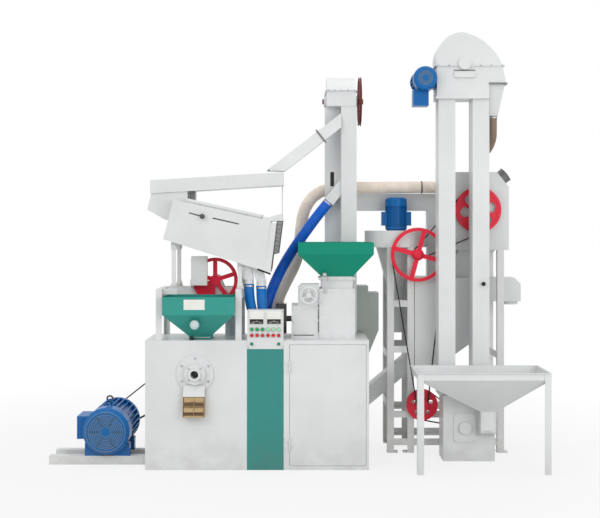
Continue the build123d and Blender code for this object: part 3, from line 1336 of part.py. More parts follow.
def sieve_pulley():
    x, z, radius = SIEVE_WHEEL
    wheel = wheel_at(SIEVE_WHEEL, disc_wheel(radius, RIM_W, WHEEL_SHAFT_R - 1, 6, 38, 97, 10), BELT_BACK_Y)
    return wheel + rod("Y", (x, z), WHEEL_SHAFT_R, (BELT_BACK_Y - RIM_W, SIEVE_FRONT + POST_LEG))


def drive_pulley():
    """Lower wheel, driven from the boot shaft, with the small pulley in front of it."""
    x, z, radius = DRIVE_WHEEL
    wheel = wheel_at(DRIVE_WHEEL, disc_wheel(radius, RIM_W, WHEEL_SHAFT_R - 1, 5, 15, 68, 18), BELT_BACK_Y)
    wheel += small_wheel(DRIVE_WHEEL, BELT_FRONT_Y)
    return wheel + rod("Y", (x, z), WHEEL_SHAFT_R, (BELT_FRONT_Y - RIM_W, CLEANER_FRONT + POST_LEG - ANGLE_T))


def belts():
    """V-belts of the drives and the bucket belt inside the tall elevator."""
    pieces = bucket_loop()
    small_low = DRIVE_WHEEL[:2] + (SMALL_R,)
    small_high = DESTONER_WHEEL[:2] + (SMALL_R,)
    boot = (FRONT_X, BOOT_SHAFT_Z, BOOT_PULLEY_R)
    for first, second, middle in ((DESTONER_WHEEL, small_low, BELT_FRONT_Y),
                                  (SIEVE_WHEEL, small_high, BELT_BACK_Y),
                                  (DRIVE_WHEEL, boot, BELT_BACK_Y)):
        pieces.append(belt(groove_floor(first), groove_floor(second), middle, VBELT_W, VBELT_T))
    motor, mill = (MOTOR_X, MOTOR_Z, MOTOR_PULLEY_R), (MILL_X, MILL_Z, MILL_PULLEY_R)
    for middle in main_belt_planes():
        pieces.append(belt(groove_floor(motor), groove_floor(mill), middle, VBELT_W, VBELT_T))
    return group(*pieces)


def cleaner_frame():
    """Angle-iron stand of the destoner and sieve, with foot plates, rails and two bearing blocks."""
    y_rows = ((CLEANER_FRONT, 1), (CLEANER_BACK, -1))
    pieces = []
    posts = ((CLEANER_LEFT, 1, FAN_LOW), (CLEANER_MID + POST_LEG, -1, FAN_LOW), (CLEANER_RIGHT, 1, SIEVE_LOW))
    for y, depth in y_rows:
        for x, side, top in posts:
            post = angle_bar("Z", (x, y), (side, depth), (PLATE, top), POST_LEG)
            foot_x, foot_y = sorted((x, x + side * POST_LEG * 1.6)), sorted((y, y + depth * POST_LEG * 1.6))
            foot = block(foot_x, foot_y, (0, PLATE))
            hole = (x + side * POST_LEG * 1.1, y + depth * POST_LEG * 1.1)
            pieces.append(post)
            pieces.append(foot - rod("Z", hole, PLATE * 1.2, (-1, PLATE + 1)))
        for z in (PLATE, 262.0):
            inner = (CLEANER_LEFT + POST_LEG, CLEANER_MID)
            outer = (CLEANER_MID + POST_LEG, CLEANER_RIGHT)
            for span in (inner, outer):
                start = (y + depth * ANGLE_T, z + (POST_LEG if z == PLATE else 0))
                pieces.append(angle_bar("X", start, (depth, 1), span, POST_LEG))
        for z in (745.0, 1085.0):
            pieces.append(angle_bar("X", (y + depth * ANGLE_T, z), (depth, 1),
                                    (CLEANER_LEFT + POST_LEG, CLEANER_MID), POST_LEG))
    for x, side in ((CLEANER_LEFT, 1), (CLEANER_RIGHT, 1)):
        for z in (330.0, 700.0):
            span = (CLEANER_FRONT + POST_LEG, CLEANER_BACK - POST_LEG)
            pieces.append(angle_bar("Y", (x, z), (side, 1), span, POST_LEG))
    x, z, _ = DRIVE_WHEEL
    deep = (CLEANER_FRONT + ANGLE_T, CLEANER_FRONT + POST_LEG)
    pieces.append(bearing_block("Y", (x, z), 262.0 + POST_LEG, 40, WHEEL_SHAFT_R, deep))
    x, z, _ = DESTONER_WHEEL
    hanger = block((CLEANER_MID + POST_LEG, x + WHEEL_SHAFT_R * 2), deep, grow((z, z), WHEEL_SHAFT_R * 2))
    pieces.append(hanger - rod("Y", (x, z), WHEEL_SHAFT_R + SHAFT_GAP, grow(deep, 1)))
    return group(*pieces)


def sieve_casing():
    """Sieve box with its cut corner and dust port, and the hopper under it."""
    x = (SIEVE_LEFT, SIEVE_LEFT + SIEVE_W)
    y = (SIEVE_FRONT, SIEVE_FRONT + SIEVE_D)
    top = SIEVE_LOW + SIEVE_H
    outline = [(x[0], SIEVE_LOW), (x[1], SIEVE_LOW), (x[1], top - SIEVE_CUT * 1.12),
               (x[1] - SIEVE_CUT * 0.9, top), (x[0], top)]
    box = hollow("Y", outline, y, SHEET)
    flange = block(grow(x, PLATE), grow(y, PLATE), (SIEVE_LOW, SIEVE_LOW + PLATE))
    box += flange - block(grow(x, -SHEET), grow(y, -SHEET), (SIEVE_LOW - 1, SIEVE_LOW + PLATE + 1))
    middle = Vector(x[1] - SIEVE_CUT * 0.45, sum(y) / 2, top - SIEVE_CUT * 0.56)
    slope = Plane(origin=middle, x_dir=(0, 1, 0), z_dir=(1.12, 0, 0.9))
    box += extrude(slope * Circle(52), amount=30)
    box -= extrude(slope * Circle(46), amount=30) + extrude(slope * Circle(46), amount=-20)
    sx, sz, _ = SIEVE_WHEEL
    box += rod("Y", (sx, sz), WHEEL_SHAFT_R * 2.4, (SIEVE_FRONT - PLATE, SIEVE_FRONT))
    box -= rod("Y", (sx, sz), WHEEL_SHAFT_R + SHAFT_GAP, (SIEVE_FRONT - PLATE - 1, SIEVE_FRONT + SHEET + 1))
    low_x = (DESTONER_LEFT + DESTONER_W * 0.55, DESTONER_LEFT + DESTONER_W)
    low_y = (SIEVE_FRONT + 60, SIEVE_FRONT + SIEVE_D - 60)
    chute = funnel((grow(x, -100), grow(y, -20)), (low_x, low_y), (DESTONER_LOW + DESTONER_H, SIEVE_LOW),
                   SHEET)
    return group(box, *chute)


def destoner_casing():
    """Destoner box between the frame's posts, with its sloping bottom and left outlet."""
    x = (DESTONER_LEFT, DESTONER_LEFT + DESTONER_W)
    y = (CLEANER_FRONT + ANGLE_T, CLEANER_BACK - ANGLE_T)
    top = DESTONER_LOW + DESTONER_H
    outline = [(x[0], DESTONER_LOW - 160), (x[0] + 130, DESTONER_LOW - 160), (x[1], DESTONER_LOW + 90),
               (x[1], top), (x[0], top)]
    return hollow("Y", outline, y, SHEET)


def fan_housing():
    """Fan drum on a round flange over the cyclone cone and its outlet pipe."""
    centre = (FAN_X, FAN_Y)
    flange_top = FAN_LOW + FAN_FLANGE_T
    drum = rod("Z", centre, FAN_R, (FAN_LOW, flange_top)) + rod("Z", centre, FAN_R - PLATE * 2,
                                                                (flange_top, FAN_LOW + FAN_H))
    drum -= rod("Z", centre, FAN_R - PLATE * 2 - SHEET, (flange_top, FAN_LOW + FAN_H - SHEET))
    drum -= rod("Z", centre, CONE_R - SHEET, (FAN_LOW, flange_top))
    low = FAN_LOW - CONE_H
    cone = Pos(FAN_X, FAN_Y, FAN_LOW - CONE_H / 2) * Cone(CONE_LOW_R, CONE_R, CONE_H)
    cone -= Pos(FAN_X, FAN_Y, FAN_LOW - CONE_H / 2) * Cone(CONE_LOW_R - SHEET, CONE_R - SHEET, CONE_H)
    pipe = tube("Z", centre, CONE_LOW_R, CONE_LOW_R - SHEET, (low - 320, low))
    return group(drum, cone, pipe)


def fan_motor():
    """Upright fan motor with a terminal box at each side."""
    base = FAN_LOW + FAN_H
    motor = motor_body(FAN_MOTOR_H, FAN_MOTOR_R, 18, 11, 4)
    for side in (-1, 1):
        motor += Pos(side * (FAN_MOTOR_R + 8), 0, FAN_MOTOR_H * 0.36) * Box(44, 70, FAN_MOTOR_H * 0.42)
    return Pos(FAN_X, FAN_Y, base) * motor


def transfer_ducts():
    """Air duct, husk duct, paddy chute, stone outlet and bran pipe."""
    _, leg_x = rear_columns()
    duct_y = (DUCT_Y, DUCT_Y + DUCT_D)
    duct_z = (DUCT_LOW, DUCT_LOW + DUCT_H)
    air = block((leg_x[1], SIEVE_LEFT), duct_y, duct_z) - block((leg_x[1] - 1, SIEVE_LEFT + 1),
                                                                grow(duct_y, -SHEET), grow(duct_z, -SHEET))
    drop_x = (SIEVE_LEFT - 100, SIEVE_LEFT - 27)
    drop = square_tube(drop_x, duct_y, (DESTONER_LOW + DESTONER_H, DUCT_LOW), SHEET)
    husk_x = leg_x[1]
    husk = hollow("Y", [(husk_x, CABINET_H + 23), (husk_x + 85, CABINET_H + 23),
                        (husk_x + 85, CABINET_H + 349), (husk_x, CABINET_H + 349)],
                  (rear_front(), rear_front() + 210), SHEET)
    tail = [(husk_x, CABINET_H - 147), (husk_x + 92, CABINET_H - 147), (husk_x + 163, CABINET_H + 23),
            (husk_x + 163, CABINET_H + 299),
            (husk_x + 85, CABINET_H + 299), (husk_x + 85, CABINET_H + 23), (husk_x, CABINET_H + 23)]
    cyclone = prism("Y", tail, (rear_front() + 10, rear_front() + 200))
    boot_edge = leg_x[1] + PLATE
    paddy = hollow("Y", [(boot_edge, 260), (boot_edge, 400), (DESTONER_LEFT, 760), (DESTONER_LEFT, 615)],
                   (400, 560), SHEET)
    stone_x = DESTONER_LEFT + DESTONER_W
    stones = hollow("Y", [(stone_x, 1117), (stone_x + 338, 1117), (stone_x + 338, 1250),
                          (stone_x + 290, 1297), (stone_x, 1297)], (430, 600), SHEET)
    elbow = tube("Z", (stone_x + 270, 515), 62, 56, (1092, 1117))
    bran = tube("Z", (SEP_RIGHT - SEP_POST - 60, FRONT + 370), 38, 34, (CABINET_H, CABINET_H + 150))
    return group(air, drop, husk, cyclone, paddy, stones, elbow, bran)


def feed_outlet_x():
    return grow((FEED_OUT_X, FEED_OUT_X), FEED_OUT_W / 2)


def feed_y():
    return (boot_y()[0] - FEED_D, boot_y()[0])


def spout_y():
    return (boot_y()[0] - FEED_OUT_W, boot_y()[0])


def feed_hopper():
    """Floor hopper of mitred sheets with a turned-out lip, front legs and a sloping spout into the boot."""
    x = (FEED_LEFT, FEED_LEFT + FEED_W)
    rim_low = FEED_RIM_Z - FEED_FASCIA
    out = (feed_outlet_x(), spout_y())
    rim = (rim_low, FEED_RIM_Z)
    pieces = funnel((x, feed_y()), out, (FEED_OUT_Z, rim_low), SHEET) + wall_ring(x, feed_y(), rim, SHEET)
    lip_z = (FEED_RIM_Z - SHEET, FEED_RIM_Z)
    lip = FEED_LIP
    pieces.append(block(grow(x, lip), (feed_y()[0] - lip, feed_y()[0]), lip_z))
    pieces += [block(side, feed_y(), lip_z) for side in ((x[0] - lip, x[0]), (x[1], x[1] + lip))]
    front, back = out[1]
    slope = [(front, FEED_OUT_Z), (back, FEED_OUT_Z), (back, FEED_OUT_Z - 190), (front, FEED_OUT_Z - 150)]
    spout = prism("X", slope, out[0])
    core = [(front + SHEET, FEED_OUT_Z), (back, FEED_OUT_Z), (back, FEED_OUT_Z - 190 + SHEET),
            (front + SHEET, FEED_OUT_Z - 150 + SHEET)]
    spout -= prism("X", core, grow(out[0], -SHEET))
    spout -= block(grow(out[0], -SHEET * 6), (front, front + SHEET), (FEED_OUT_Z - 120, FEED_OUT_Z - 62))
    for side in (0, 1):
        edge = grow((FEED_OUT_X, FEED_OUT_X), GATE_LIFT_W / 2 + SEAT_GAP)[side]
        rail = sorted((edge, edge + (-1, 1)[side] * PLATE))
        spout += block(rail, (front - PLATE, front), (FEED_OUT_Z - 145, FEED_OUT_Z - 4))
    for edge, side in ((x[0], 1), (x[1], -1)):
        heel = (edge - side * ANGLE_T, feed_y()[0] - ANGLE_T)
        pieces.append(angle_bar("Z", heel, (side, 1), (0, FEED_RIM_Z - SHEET), FEED_LEG))
    return group(*pieces, spout)


def hopper_gate():
    """Lifting plate over the spout's clean-out hole, with a folded grip."""
    front = spout_y()[0]
    x = grow((FEED_OUT_X, FEED_OUT_X), GATE_LIFT_W / 2)
    low = FEED_OUT_Z - 140
    plate = block(x, (front - SEAT_GAP - SHEET, front - SEAT_GAP), (low, low + GATE_LIFT_H))
    return plate + block(grow(x, -GATE_LIFT_W / 4), (front - SEAT_GAP - PLATE * 4, front - SEAT_GAP),
                         (low + PLATE, low + PLATE + SHEET))


def motor_rails():
    """Two channel rails from the cabinet's side, tied at their outer end."""
    rails = [channel("X", (y, y + RAIL_W), (0, RAIL_H), (RAIL_LEFT, LEFT)) for y in RAIL_Y]
    tie = block((RAIL_LEFT, RAIL_LEFT + RAIL_W), (RAIL_Y[0] + RAIL_W, RAIL_Y[1]), (0, PLATE))
    return group(*rails, tie)


def main_motor():
    """Finned motor on feet across the rails, with its terminal box and lifting eye."""
    back = MOTOR_FRONT + MOTOR_L
    motor = motor_body(MOTOR_L, MOTOR_COVER_R, FIN_COUNT, FIN_H, FIN_T)
    for count in range(6):
        vent = Pos(MOTOR_COVER_R * 0.5, 0, MOTOR_L) * Box(MOTOR_COVER_R * 0.5, 10, 16)
        motor -= Rot(0, 0, count * 60) * vent
    motor = front_plane(MOTOR_X, MOTOR_Z, back).location * motor
    for y in RAIL_Y:
        for side in (-1, 1):
            x = sorted((MOTOR_X + side * MOTOR_BODY_R * 0.25, MOTOR_X + side * MOTOR_BODY_R * 1.05))
            motor += block(x, (y, y + RAIL_W), (RAIL_H, MOTOR_Z - MOTOR_BODY_R * 0.62))
    motor += block((MOTOR_X - MOTOR_COVER_R - 48, MOTOR_X - MOTOR_BODY_R * 0.6), (RAIL_Y[0], RAIL_Y[1]),
                   (MOTOR_Z - 60, MOTOR_Z + 100))
    eye_y = sum(RAIL_Y) / 2
    eye = tube("Y", (MOTOR_X, MOTOR_Z + MOTOR_COVER_R + 16), 26, 14, grow((eye_y, eye_y), 6))
    return motor + eye


def main_motor_pulley():
    """Motor shaft end with the small grooved pulley."""
    centre = (MOTOR_X, MOTOR_Z)
    return drive_pulley_body(centre, MOTOR_PULLEY_R) + rod("Y", centre, MILL_SHAFT_R,
                                                           (MOTOR_FRONT + MOTOR_L + SEAT_GAP,
                                                            DRIVE_Y + DRIVE_W))


def outlet_hoses():
    """Two short hoses from the deck's spouts down to the cabinet."""
    pieces = []
    for x, low, lean in zip(SPOUT_X, SPOUT_LOW, (46.0, 24.0)):
        top = CABINET_H + low - SEAT_GAP
        height = top - CABINET_H
        route = [(x, SPOUT_Y, top), (x, SPOUT_Y, top - height * 0.3),
                 (x + lean, SPOUT_Y, top - height * 0.68),
                 (x + lean, SPOUT_Y, CABINET_H)]
        pieces.append(hose(route, SPOUT_R + 2))
    return group(*pieces)


os.makedirs("parts", exist_ok=True)
NODES = {
    "cabinet_shell": cabinet(),
    "cabinet_door": cabinet_door(),
    "centre_panel": centre_panel(),
    "control_box": control_box(),
    "panel_instruments": panel_instruments(),
    "mill_casing": mill_casing(),
    "mill_rotor": mill_rotor(),
    "mill_outlet_chute": mill_outlet_chute(),
    "mill_hopper": mill_hopper(),
    "mill_gate": mill_gate(),
    "separator_frame": separator_frame(),
    "separator_deck": separator_deck(),
    "rocker_arms_left": rocker_arms(0),
    "rocker_arms_right": rocker_arms(1),
    "separator_pulley": separator_pulley(),
    "husker_casing": husker_casing(),
    "husker_hopper": husker_hopper(),
    "husker_gate": husker_gate(),
    "husker_handwheel": husker_handwheel(),
    "fast_roller": roller(0),
    "slow_roller": roller(1),
    "rear_elevator_legs": rear_elevator_legs(),
    "rear_elevator_head": rear_elevator_head(),
    "rear_head_shaft": rear_head_shaft(),
    "front_elevator_legs": front_elevator_legs(),
    "front_elevator_head": front_elevator_head(),
    "front_elevator_motor": front_elevator_motor(),
    "front_head_shaft": front_shaft(HEAD_SHAFT_Z, DRUM_R, head_y()[1] + PLATE),
    "front_boot_shaft": front_boot_shaft(),
    "belts": belts(),
    "cleaner_frame": cleaner_frame(),
    "sieve_casing": sieve_casing(),
    "sieve_pulley": sieve_pulley(),
    "destoner_casing": destoner_casing(),
    "destoner_pulley": destoner_pulley(),
    "drive_pulley": drive_pulley(),
    "fan_housing": fan_housing(),
    "fan_motor": fan_motor(),
    "transfer_ducts": transfer_ducts(),
    "feed_hopper": feed_hopper(),
    "hopper_gate": hopper_gate(),
    "motor_rails": motor_rails(),
    "main_motor": main_motor(),
    "main_motor_pulley": main_motor_pulley(),
    "outlet_hoses": outlet_hoses(),
    "return_hose": hose(RETURN_ROUTE, RETURN_HOSE_R),
    "suction_hose": hose(SUCTION_ROUTE, SUCTION_HOSE_R),
    "feed_hose": hose(FEED_ROUTE, FEED_HOSE_R),
}
for count, column in enumerate(button_places(), 1):
    NODES[f"start_button_{count}"] = push_button(column, START_ROW)
    NODES[f"stop_button_{count}"] = push_button(column, STOP_ROW)
for node, shape in NODES.items():
    export_step(shape, f"parts/{node}.step")
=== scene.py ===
"""Finishes and fine detail of a combined rice huller and mill, in metres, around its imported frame."""
from math import cos, pi, radians, sin

import bmesh
import bpy
from mathutils import Matrix, Vector


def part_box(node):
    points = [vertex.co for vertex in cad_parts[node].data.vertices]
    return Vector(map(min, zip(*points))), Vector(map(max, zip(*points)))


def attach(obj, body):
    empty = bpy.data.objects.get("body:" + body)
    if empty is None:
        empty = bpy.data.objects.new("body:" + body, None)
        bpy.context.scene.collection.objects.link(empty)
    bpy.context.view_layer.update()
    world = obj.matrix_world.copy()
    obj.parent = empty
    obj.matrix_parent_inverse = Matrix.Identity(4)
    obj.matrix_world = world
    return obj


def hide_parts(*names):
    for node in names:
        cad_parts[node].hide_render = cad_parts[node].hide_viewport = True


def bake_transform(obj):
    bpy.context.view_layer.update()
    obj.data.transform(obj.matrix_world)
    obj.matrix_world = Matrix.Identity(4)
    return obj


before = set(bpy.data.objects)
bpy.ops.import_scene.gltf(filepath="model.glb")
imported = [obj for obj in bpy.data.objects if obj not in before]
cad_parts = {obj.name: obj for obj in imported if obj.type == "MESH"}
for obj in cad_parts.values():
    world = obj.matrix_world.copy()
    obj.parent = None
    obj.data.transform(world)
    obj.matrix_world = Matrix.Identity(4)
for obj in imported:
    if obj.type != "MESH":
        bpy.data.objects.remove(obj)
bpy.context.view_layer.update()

# Photograph's camera: place, lens and film width in millimetres, shift of the frame, and reach
CAMERA_PLACE = (0.2965, -7.140, 1.650)
CAMERA_LENS = 60.0
CAMERA_FILM = 36.0
CAMERA_SHIFT = -0.0467
CAMERA_REACH = 200.0

# Studio: light of the surroundings, soft lights, and where and from what share the floor fades to white
WORLD_LIGHT = 0.88
SOFT_LIGHTS = {
    "key": {"place": (-3.6, -5.2, 4.4), "target": (0.3, 0.0, 1.0), "size": (4.0, 3.0), "power": 92.0},
    "fill": {"place": (4.2, -5.6, 2.2), "target": (0.6, 0.0, 0.9), "size": (4.0, 3.0), "power": 92.0},
    "top": {"place": (0.3, 0.4, 7.0), "target": (0.3, 0.2, 0.0), "size": (6.0, 4.0), "power": 72.0},
}
FLOOR_REACH = 40.0
FLOOR_ROUGHNESS = 0.95
FLOOR_SHARE = 0.80
FLOOR_FADE = (1.9, 4.2)

# Colours of the finishes
WHITE_PAINT = (0.725, 0.740, 0.740)
CREAM_PAINT = (0.75, 0.755, 0.745)
TEAL_PAINT = (0.045, 0.265, 0.235)
HOPPER_TEAL = (0.040, 0.320, 0.270)
HUSKER_GREEN = (0.002, 0.262, 0.168)
WHEEL_RED = (0.80, 0.012, 0.045)
WHEEL_BROWN = (0.20, 0.055, 0.045)
MOTOR_BLUE = (0.003, 0.130, 0.400)
GRILLE_GREY = (0.150, 0.235, 0.330)
HOSE_BLUE = (0.002, 0.115, 0.600)
OUTLET_BLUE = (0.003, 0.150, 0.480)
HOSE_CREAM = (0.86, 0.765, 0.665)
# Brown of the feed hose: partly its own colour, partly painted shade inside the translucent hose
HOSE_BROWN = (0.26, 0.190, 0.140)
BRASS_SHEET = (0.38, 0.275, 0.150)
# Dark brown painted as the shade under the louvre steps of the mill's outlet
SHADE_BROWN = (0.135, 0.085, 0.045)
PRIMER_GREY = (0.26, 0.26, 0.25)
RUST_BROWN = (0.13, 0.055, 0.025)
GRIME_BROWN = (0.20, 0.165, 0.115)
DUST_TAN = (0.34, 0.31, 0.26)
STEEL_GREY = (0.50, 0.51, 0.52)
IRON_GREY = (0.110, 0.110, 0.115)
ZINC_GREY = (0.190, 0.195, 0.190)
# Grey-green painted as shade over the husk duct
DUCT_SHADE_GREY = (0.335, 0.365, 0.345)
RUBBER_BLACK = (0.012, 0.012, 0.013)
PLASTIC_BLACK = (0.016, 0.016, 0.018)
BUTTON_GREEN = (0.010, 0.330, 0.085)
BUTTON_LIT = (0.330, 0.720, 0.400)
BUTTON_RED = (0.600, 0.012, 0.015)
LAMP_GREEN = (0.010, 0.240, 0.150)
SIGHT_PALE = (0.60, 0.68, 0.70)
DIAL_WHITE = (0.80, 0.80, 0.76)
FLOOR_WHITE = (0.62, 0.62, 0.62)

# Wear: depth of the surface texture and of chips in it, height and strength of the grime near the floor,
# and how much clouds, chips, streaks, stains and dust roughen a surface
TEXTURE_DEPTH = 0.0006
CHIP_DEPTH = 1.5
GRIME_TOP = 0.25
GRIME_SHARE = 0.20
CLOUD_HAZE = 0.09
CHIP_HAZE = 0.3
STREAK_HAZE = 0.18
STAIN_HAZE = 0.25
DUST_HAZE = 0.15

# Where the husk duct lies among the white ducts; there the white is painted over grey-green as shade
HUSK_DUCT_X = (0.62, 1.00)
HUSK_DUCT_Z = (0.66, 1.30)

# Hoses: ribs, plain cuffs, and each one's radius and route from fitting to fitting
RIB_PITCH = 0.016
RIB_DEPTH = 0.0035
RIB_WAVE = (1.0, 0.72, 0.0, 0.72)
SMOOTH_DEPTH = 0.0006
CUFF_RINGS = 8
CUFF_INSET = 0.0005
HOSE_SIDES = 28
ROUTE_STEPS = 24
RETURN_RADIUS = 0.039
RETURN_ROUTE = [
    (0.509, 0.305, 1.865), (0.425, 0.300, 1.763), (0.345, 0.294, 1.652),
    (0.262, 0.284, 1.538), (0.185, 0.245, 1.415), (0.120, 0.180, 1.290),
    (0.072, 0.122, 1.170), (0.044, 0.092, 1.060), (0.035, 0.082, 0.970), (0.035, 0.082, 0.894),
]
SUCTION_RADIUS = 0.046
SUCTION_ROUTE = [
    (1.383, 0.505, 1.984), (1.130, 0.505, 1.984), (0.800, 0.505, 1.980),
    (0.540, 0.503, 1.984), (0.400, 0.496, 1.926), (0.325, 0.485, 1.810),
    (0.302, 0.470, 1.660), (0.292, 0.440, 1.510), (0.255, 0.395, 1.390),
    (0.195, 0.330, 1.280), (0.140, 0.262, 1.170), (0.112, 0.214, 1.060),
    (0.100, 0.196, 0.970), (0.100, 0.196, 0.894),
]
FEED_RADIUS = 0.029
FEED_ROUTE = [
    (1.703, 0.145, 2.486), (1.703, 0.145, 2.410), (1.712, 0.200, 2.325),
    (1.700, 0.290, 2.260), (1.665, 0.380, 2.215), (1.630, 0.446, 2.165),
    (1.630, 0.446, 2.089),
]
OUTLET_RADIUS = 0.036
OUTLET_TOPS = ((-0.063, 1.2787, 0.046), (0.024, 1.2647, 0.024))
OUTLET_Y = -0.095
OUTLET_BENDS = (0.30, 0.68)
CABINET_TOP = 0.894

# Hose clamps: slope of their edges, rise over the hose, and where they lie along it
CLAMP_EDGE = 0.0005
CLAMP_RISE = 0.002
CLAMP_SIDES = 32
CLAMP_SPAN = (0.006, 0.017)
OUTLET_CLAMP_SIDES = 36
OUTLET_CLAMP_SPAN = (0.008, 0.020)
CUFF_PLACE = (1.219, 0.505, 1.984)
CUFF_SPAN = (0.0, 0.010)
CUFF_RADII = (SUCTION_RADIUS - 0.002, SUCTION_RADIUS + 0.0015)

# Bolt heads: radius and height of each kind
COVER_BOLT = (0.008, 0.007)
FLANGE_BOLT = (0.006, 0.007)
BAND_BOLT = (0.005, 0.007)
SHEET_SCREW = (0.004, 0.004)
BOX_SCREW = (0.004, 0.003)
FOOT_BOLT = (0.011, 0.010)
# Borders of bolts: span in X and Z or edges inside a casing, depth of the face, columns and rows
HUSKER_COVER_EDGES = (0.235, 0.016)
HUSKER_COVER_FOOT = 0.02
HUSKER_COVER_TOP = 1.226
HUSKER_COVER_FACE = -0.110
HUSKER_COVER_GRID = (4, 5)
GEARBOX_COVER_EDGES = (0.016, 0.180)
GEARBOX_COVER_Z = (0.932, 1.106)
GEARBOX_FACE = -0.098
GEARBOX_GRID = (3, 3)
BOOT_PLATE = ((1.410, 1.546), (0.150, 0.332), 0.018, 2, 2)
CONTROL_BOX = ((-0.060, 0.174), (0.846, 1.095), -0.240, 2, 2)
# Rows of bolts: span, the two other places and the number
NECK_ROW = ((0.44, 0.676), -0.082, 1.313, 5)
SIEVE_ROW = ((1.40, 1.84), 0.299, 1.511, 6)
HEAD_ROW = ((1.29, 1.75), 0.033, 2.838, 7)
HEAD_SIDE_ROW = ((0.06, 0.23), 1.768, 2.838, 4)
REAR_HEAD_ROW = ((0.505, 0.70), 0.232, 2.688, 5)
# Circles of bolts: middle, radius, number, plane and first angle
MILL_FLANGE = ((-0.426, -0.254, 0.666), 0.106, 6, (0, 2), 0.52)
MILL_RING = ((-0.426, -0.288, 0.666), 0.057, 4, (0, 2), 0.78)
FAN_FLANGE = ((1.033, 0.530, 1.540), 0.247, 16, (0, 1))
MOTOR_FEET_X = (-1.215, -0.917)
MOTOR_FEET_Y = (-0.047, 0.158)
MOTOR_FEET_Z = 0.148

# Control box: windows and scales of the meters, bezels of the buttons, pilot lamps
METER_MIDDLES = (-0.003, 0.117)
METER_FACE = -0.249
WINDOW_HALF = 0.047
WINDOW_Z = (1.010, 1.042)
WINDOW_PROUD = 0.0012
SCALE_PROUD = 0.0016
SCALE_PIVOT = 0.965
MARK_COUNT = 13
MARK_FIRST = -30
MARK_PITCH = 5
MARK_FOOT = 0.058
MARK_SHORT = 0.006
MARK_LONG = 0.010
MARKS_PER_LONG = 6
MARK_HALF = (0.0008, 0.0004)
NEEDLE_TURN = -24
NEEDLE_SPAN = (0.048, 0.062)
NEEDLE_HALF = (0.0008, 0.0006)
BUTTON_COUNT = 6
BUTTON_FIRST = -0.03625
BUTTON_PITCH = 0.0373
BUTTON_ROWS = {"start": 0.971, "stop": 0.930}
BUTTON_FACE = -0.2401
BEZEL_PROFILE = (
    (0.0155, 0.0), (0.016, -0.0008), (0.0148, -0.004), (0.0132, -0.0048), (0.0116, -0.0048), (0.0116, 0.0),
)
LAMP_X = (-0.03625, 0.15025)
LAMP_Y = -0.2495
LAMP_Z = 0.872
LAMP_RADIUS = 0.012

# Knobs: turned profile in shares of the radius, and each one's place and radius
KNOB_PROFILE = (
    (0.0, -1.0), (0.30, -0.95), (0.55, -0.84), (0.75, -0.66), (0.88, -0.48), (0.97, -0.25), (1.0, 0.0),
    (0.97, 0.25), (0.88, 0.48), (0.62, 0.78), (0.42, 1.0), (0.42, 1.35), (0.0, 1.35),
)
MILL_GATE_KNOB = ((-0.4535, -0.222, 0.9083), 0.0155)
HUSKER_LEVER_KNOB = ((0.4685, -0.142, 1.344), 0.0165)
LEG_COVER_KNOB = ((1.615, 0.0398, 1.270), 0.015)
POINTER_KNOB = ((-0.380, -0.2243, 1.751), 0.018)

# Turned fittings: place, axis and profile of radius and height
TURNED_SIDES = 28
DUST_PORT = (1.8187, 0.5075, 2.0424)
DUST_AXIS = (0.7795, 0.0, 0.6264)
DUST_SIDES = 40
DUST_COLLAR = (
    (0.0525, 0.004), (0.0550, 0.004), (0.0550, 0.056), (0.0590, 0.062), (0.0570, 0.064), (0.0525, 0.058),
)
SIGHT_PLACE = (-0.426, -0.2955, 1.007)
SIGHT_SIDES = 36
SIGHT_DISC = ((0.0, -0.0025), (0.0310, -0.0025), (0.0327, -0.0010), (0.0327, 0.0025), (0.0, 0.0025))
HUB_PLACE = (1.168, 0.2438, 1.475)
HUB_SIDES = 32
HUB_CAP = (
    (0.0, -0.026), (0.012, -0.0252), (0.024, -0.0215), (0.034, -0.0145), (0.0405, -0.006),
    (0.0425, 0.0), (0.0, 0.0),
)

# Wire guards and lifting eye of the motors: place, first and last radius and number of rings, wire radius
WIRE_SIDES = 6
RING_SIDES = 40
MOTOR_FACE = (-1.066, -0.1405, 0.241)
MOTOR_RINGS = (0.035, 0.119, 8)
# Outermost ring of the main motor's guard, in grille grey: a painted highlight on the edge of the fan cover
MOTOR_RIM_HIGHLIGHT = 0.138
MOTOR_WIRE = 0.0030
HEAD_MOTOR_FACE = (1.190, -0.0305, 2.740)
HEAD_MOTOR_RINGS = (0.026, 0.050, 4)
HEAD_MOTOR_WIRE = 0.0024
EYE_PLACE = (-1.066, 0.030, 0.4475)
EYE_RADIUS = 0.0205
EYE_WIRE = 0.0062

# Plates and flanges, from corner to corner, and the rounding of their edges
PLATE_EDGE = 0.0008
SIGHT_GLASS = ((0.524, 0.3585, 1.985), (0.552, 0.3605, 2.092))
HOPPER_PLATE = ((-0.500, -0.3015, 1.110), (-0.356, -0.2995, 1.180))
SHELF_EDGE = 0.002
BEARING_SHELF = ((1.403, 0.031, 2.752), (1.555, 0.045, 2.797))
FOOT_FLANGE = ((1.272, 0.031, 2.600), (1.655, 0.045, 2.618))
# Dark strip above the bearing shelf: painted shadow under the bearing
SHADOW_EDGE = 0.001
SHELF_SHADOW = ((1.403, 0.041, 2.797), (1.555, 0.045, 2.808))
# Outlet flange in dark zinc: a real flange, with its darkness painted shade beneath it
OUTLET_FLANGE = (
    ((1.654, 0.037, 2.704), (1.786, 0.045, 2.716)),
    ((1.774, 0.045, 2.704), (1.786, 0.245, 2.716)),
)
GEARBOX_JOINTS = (
    ((0.4225, -0.0995, 0.932), (0.4305, -0.098, 1.132)),
    ((0.250, -0.0995, 0.912), (0.395, -0.098, 0.920)),
)
PADDY_FLANGE = ((0.484, 2.297), (0.416, 2.383))
PADDY_FLANGE_HALF = 0.006
PADDY_FLANGE_BACK = 0.156
PADDY_FLANGE_DEPTH = 0.011
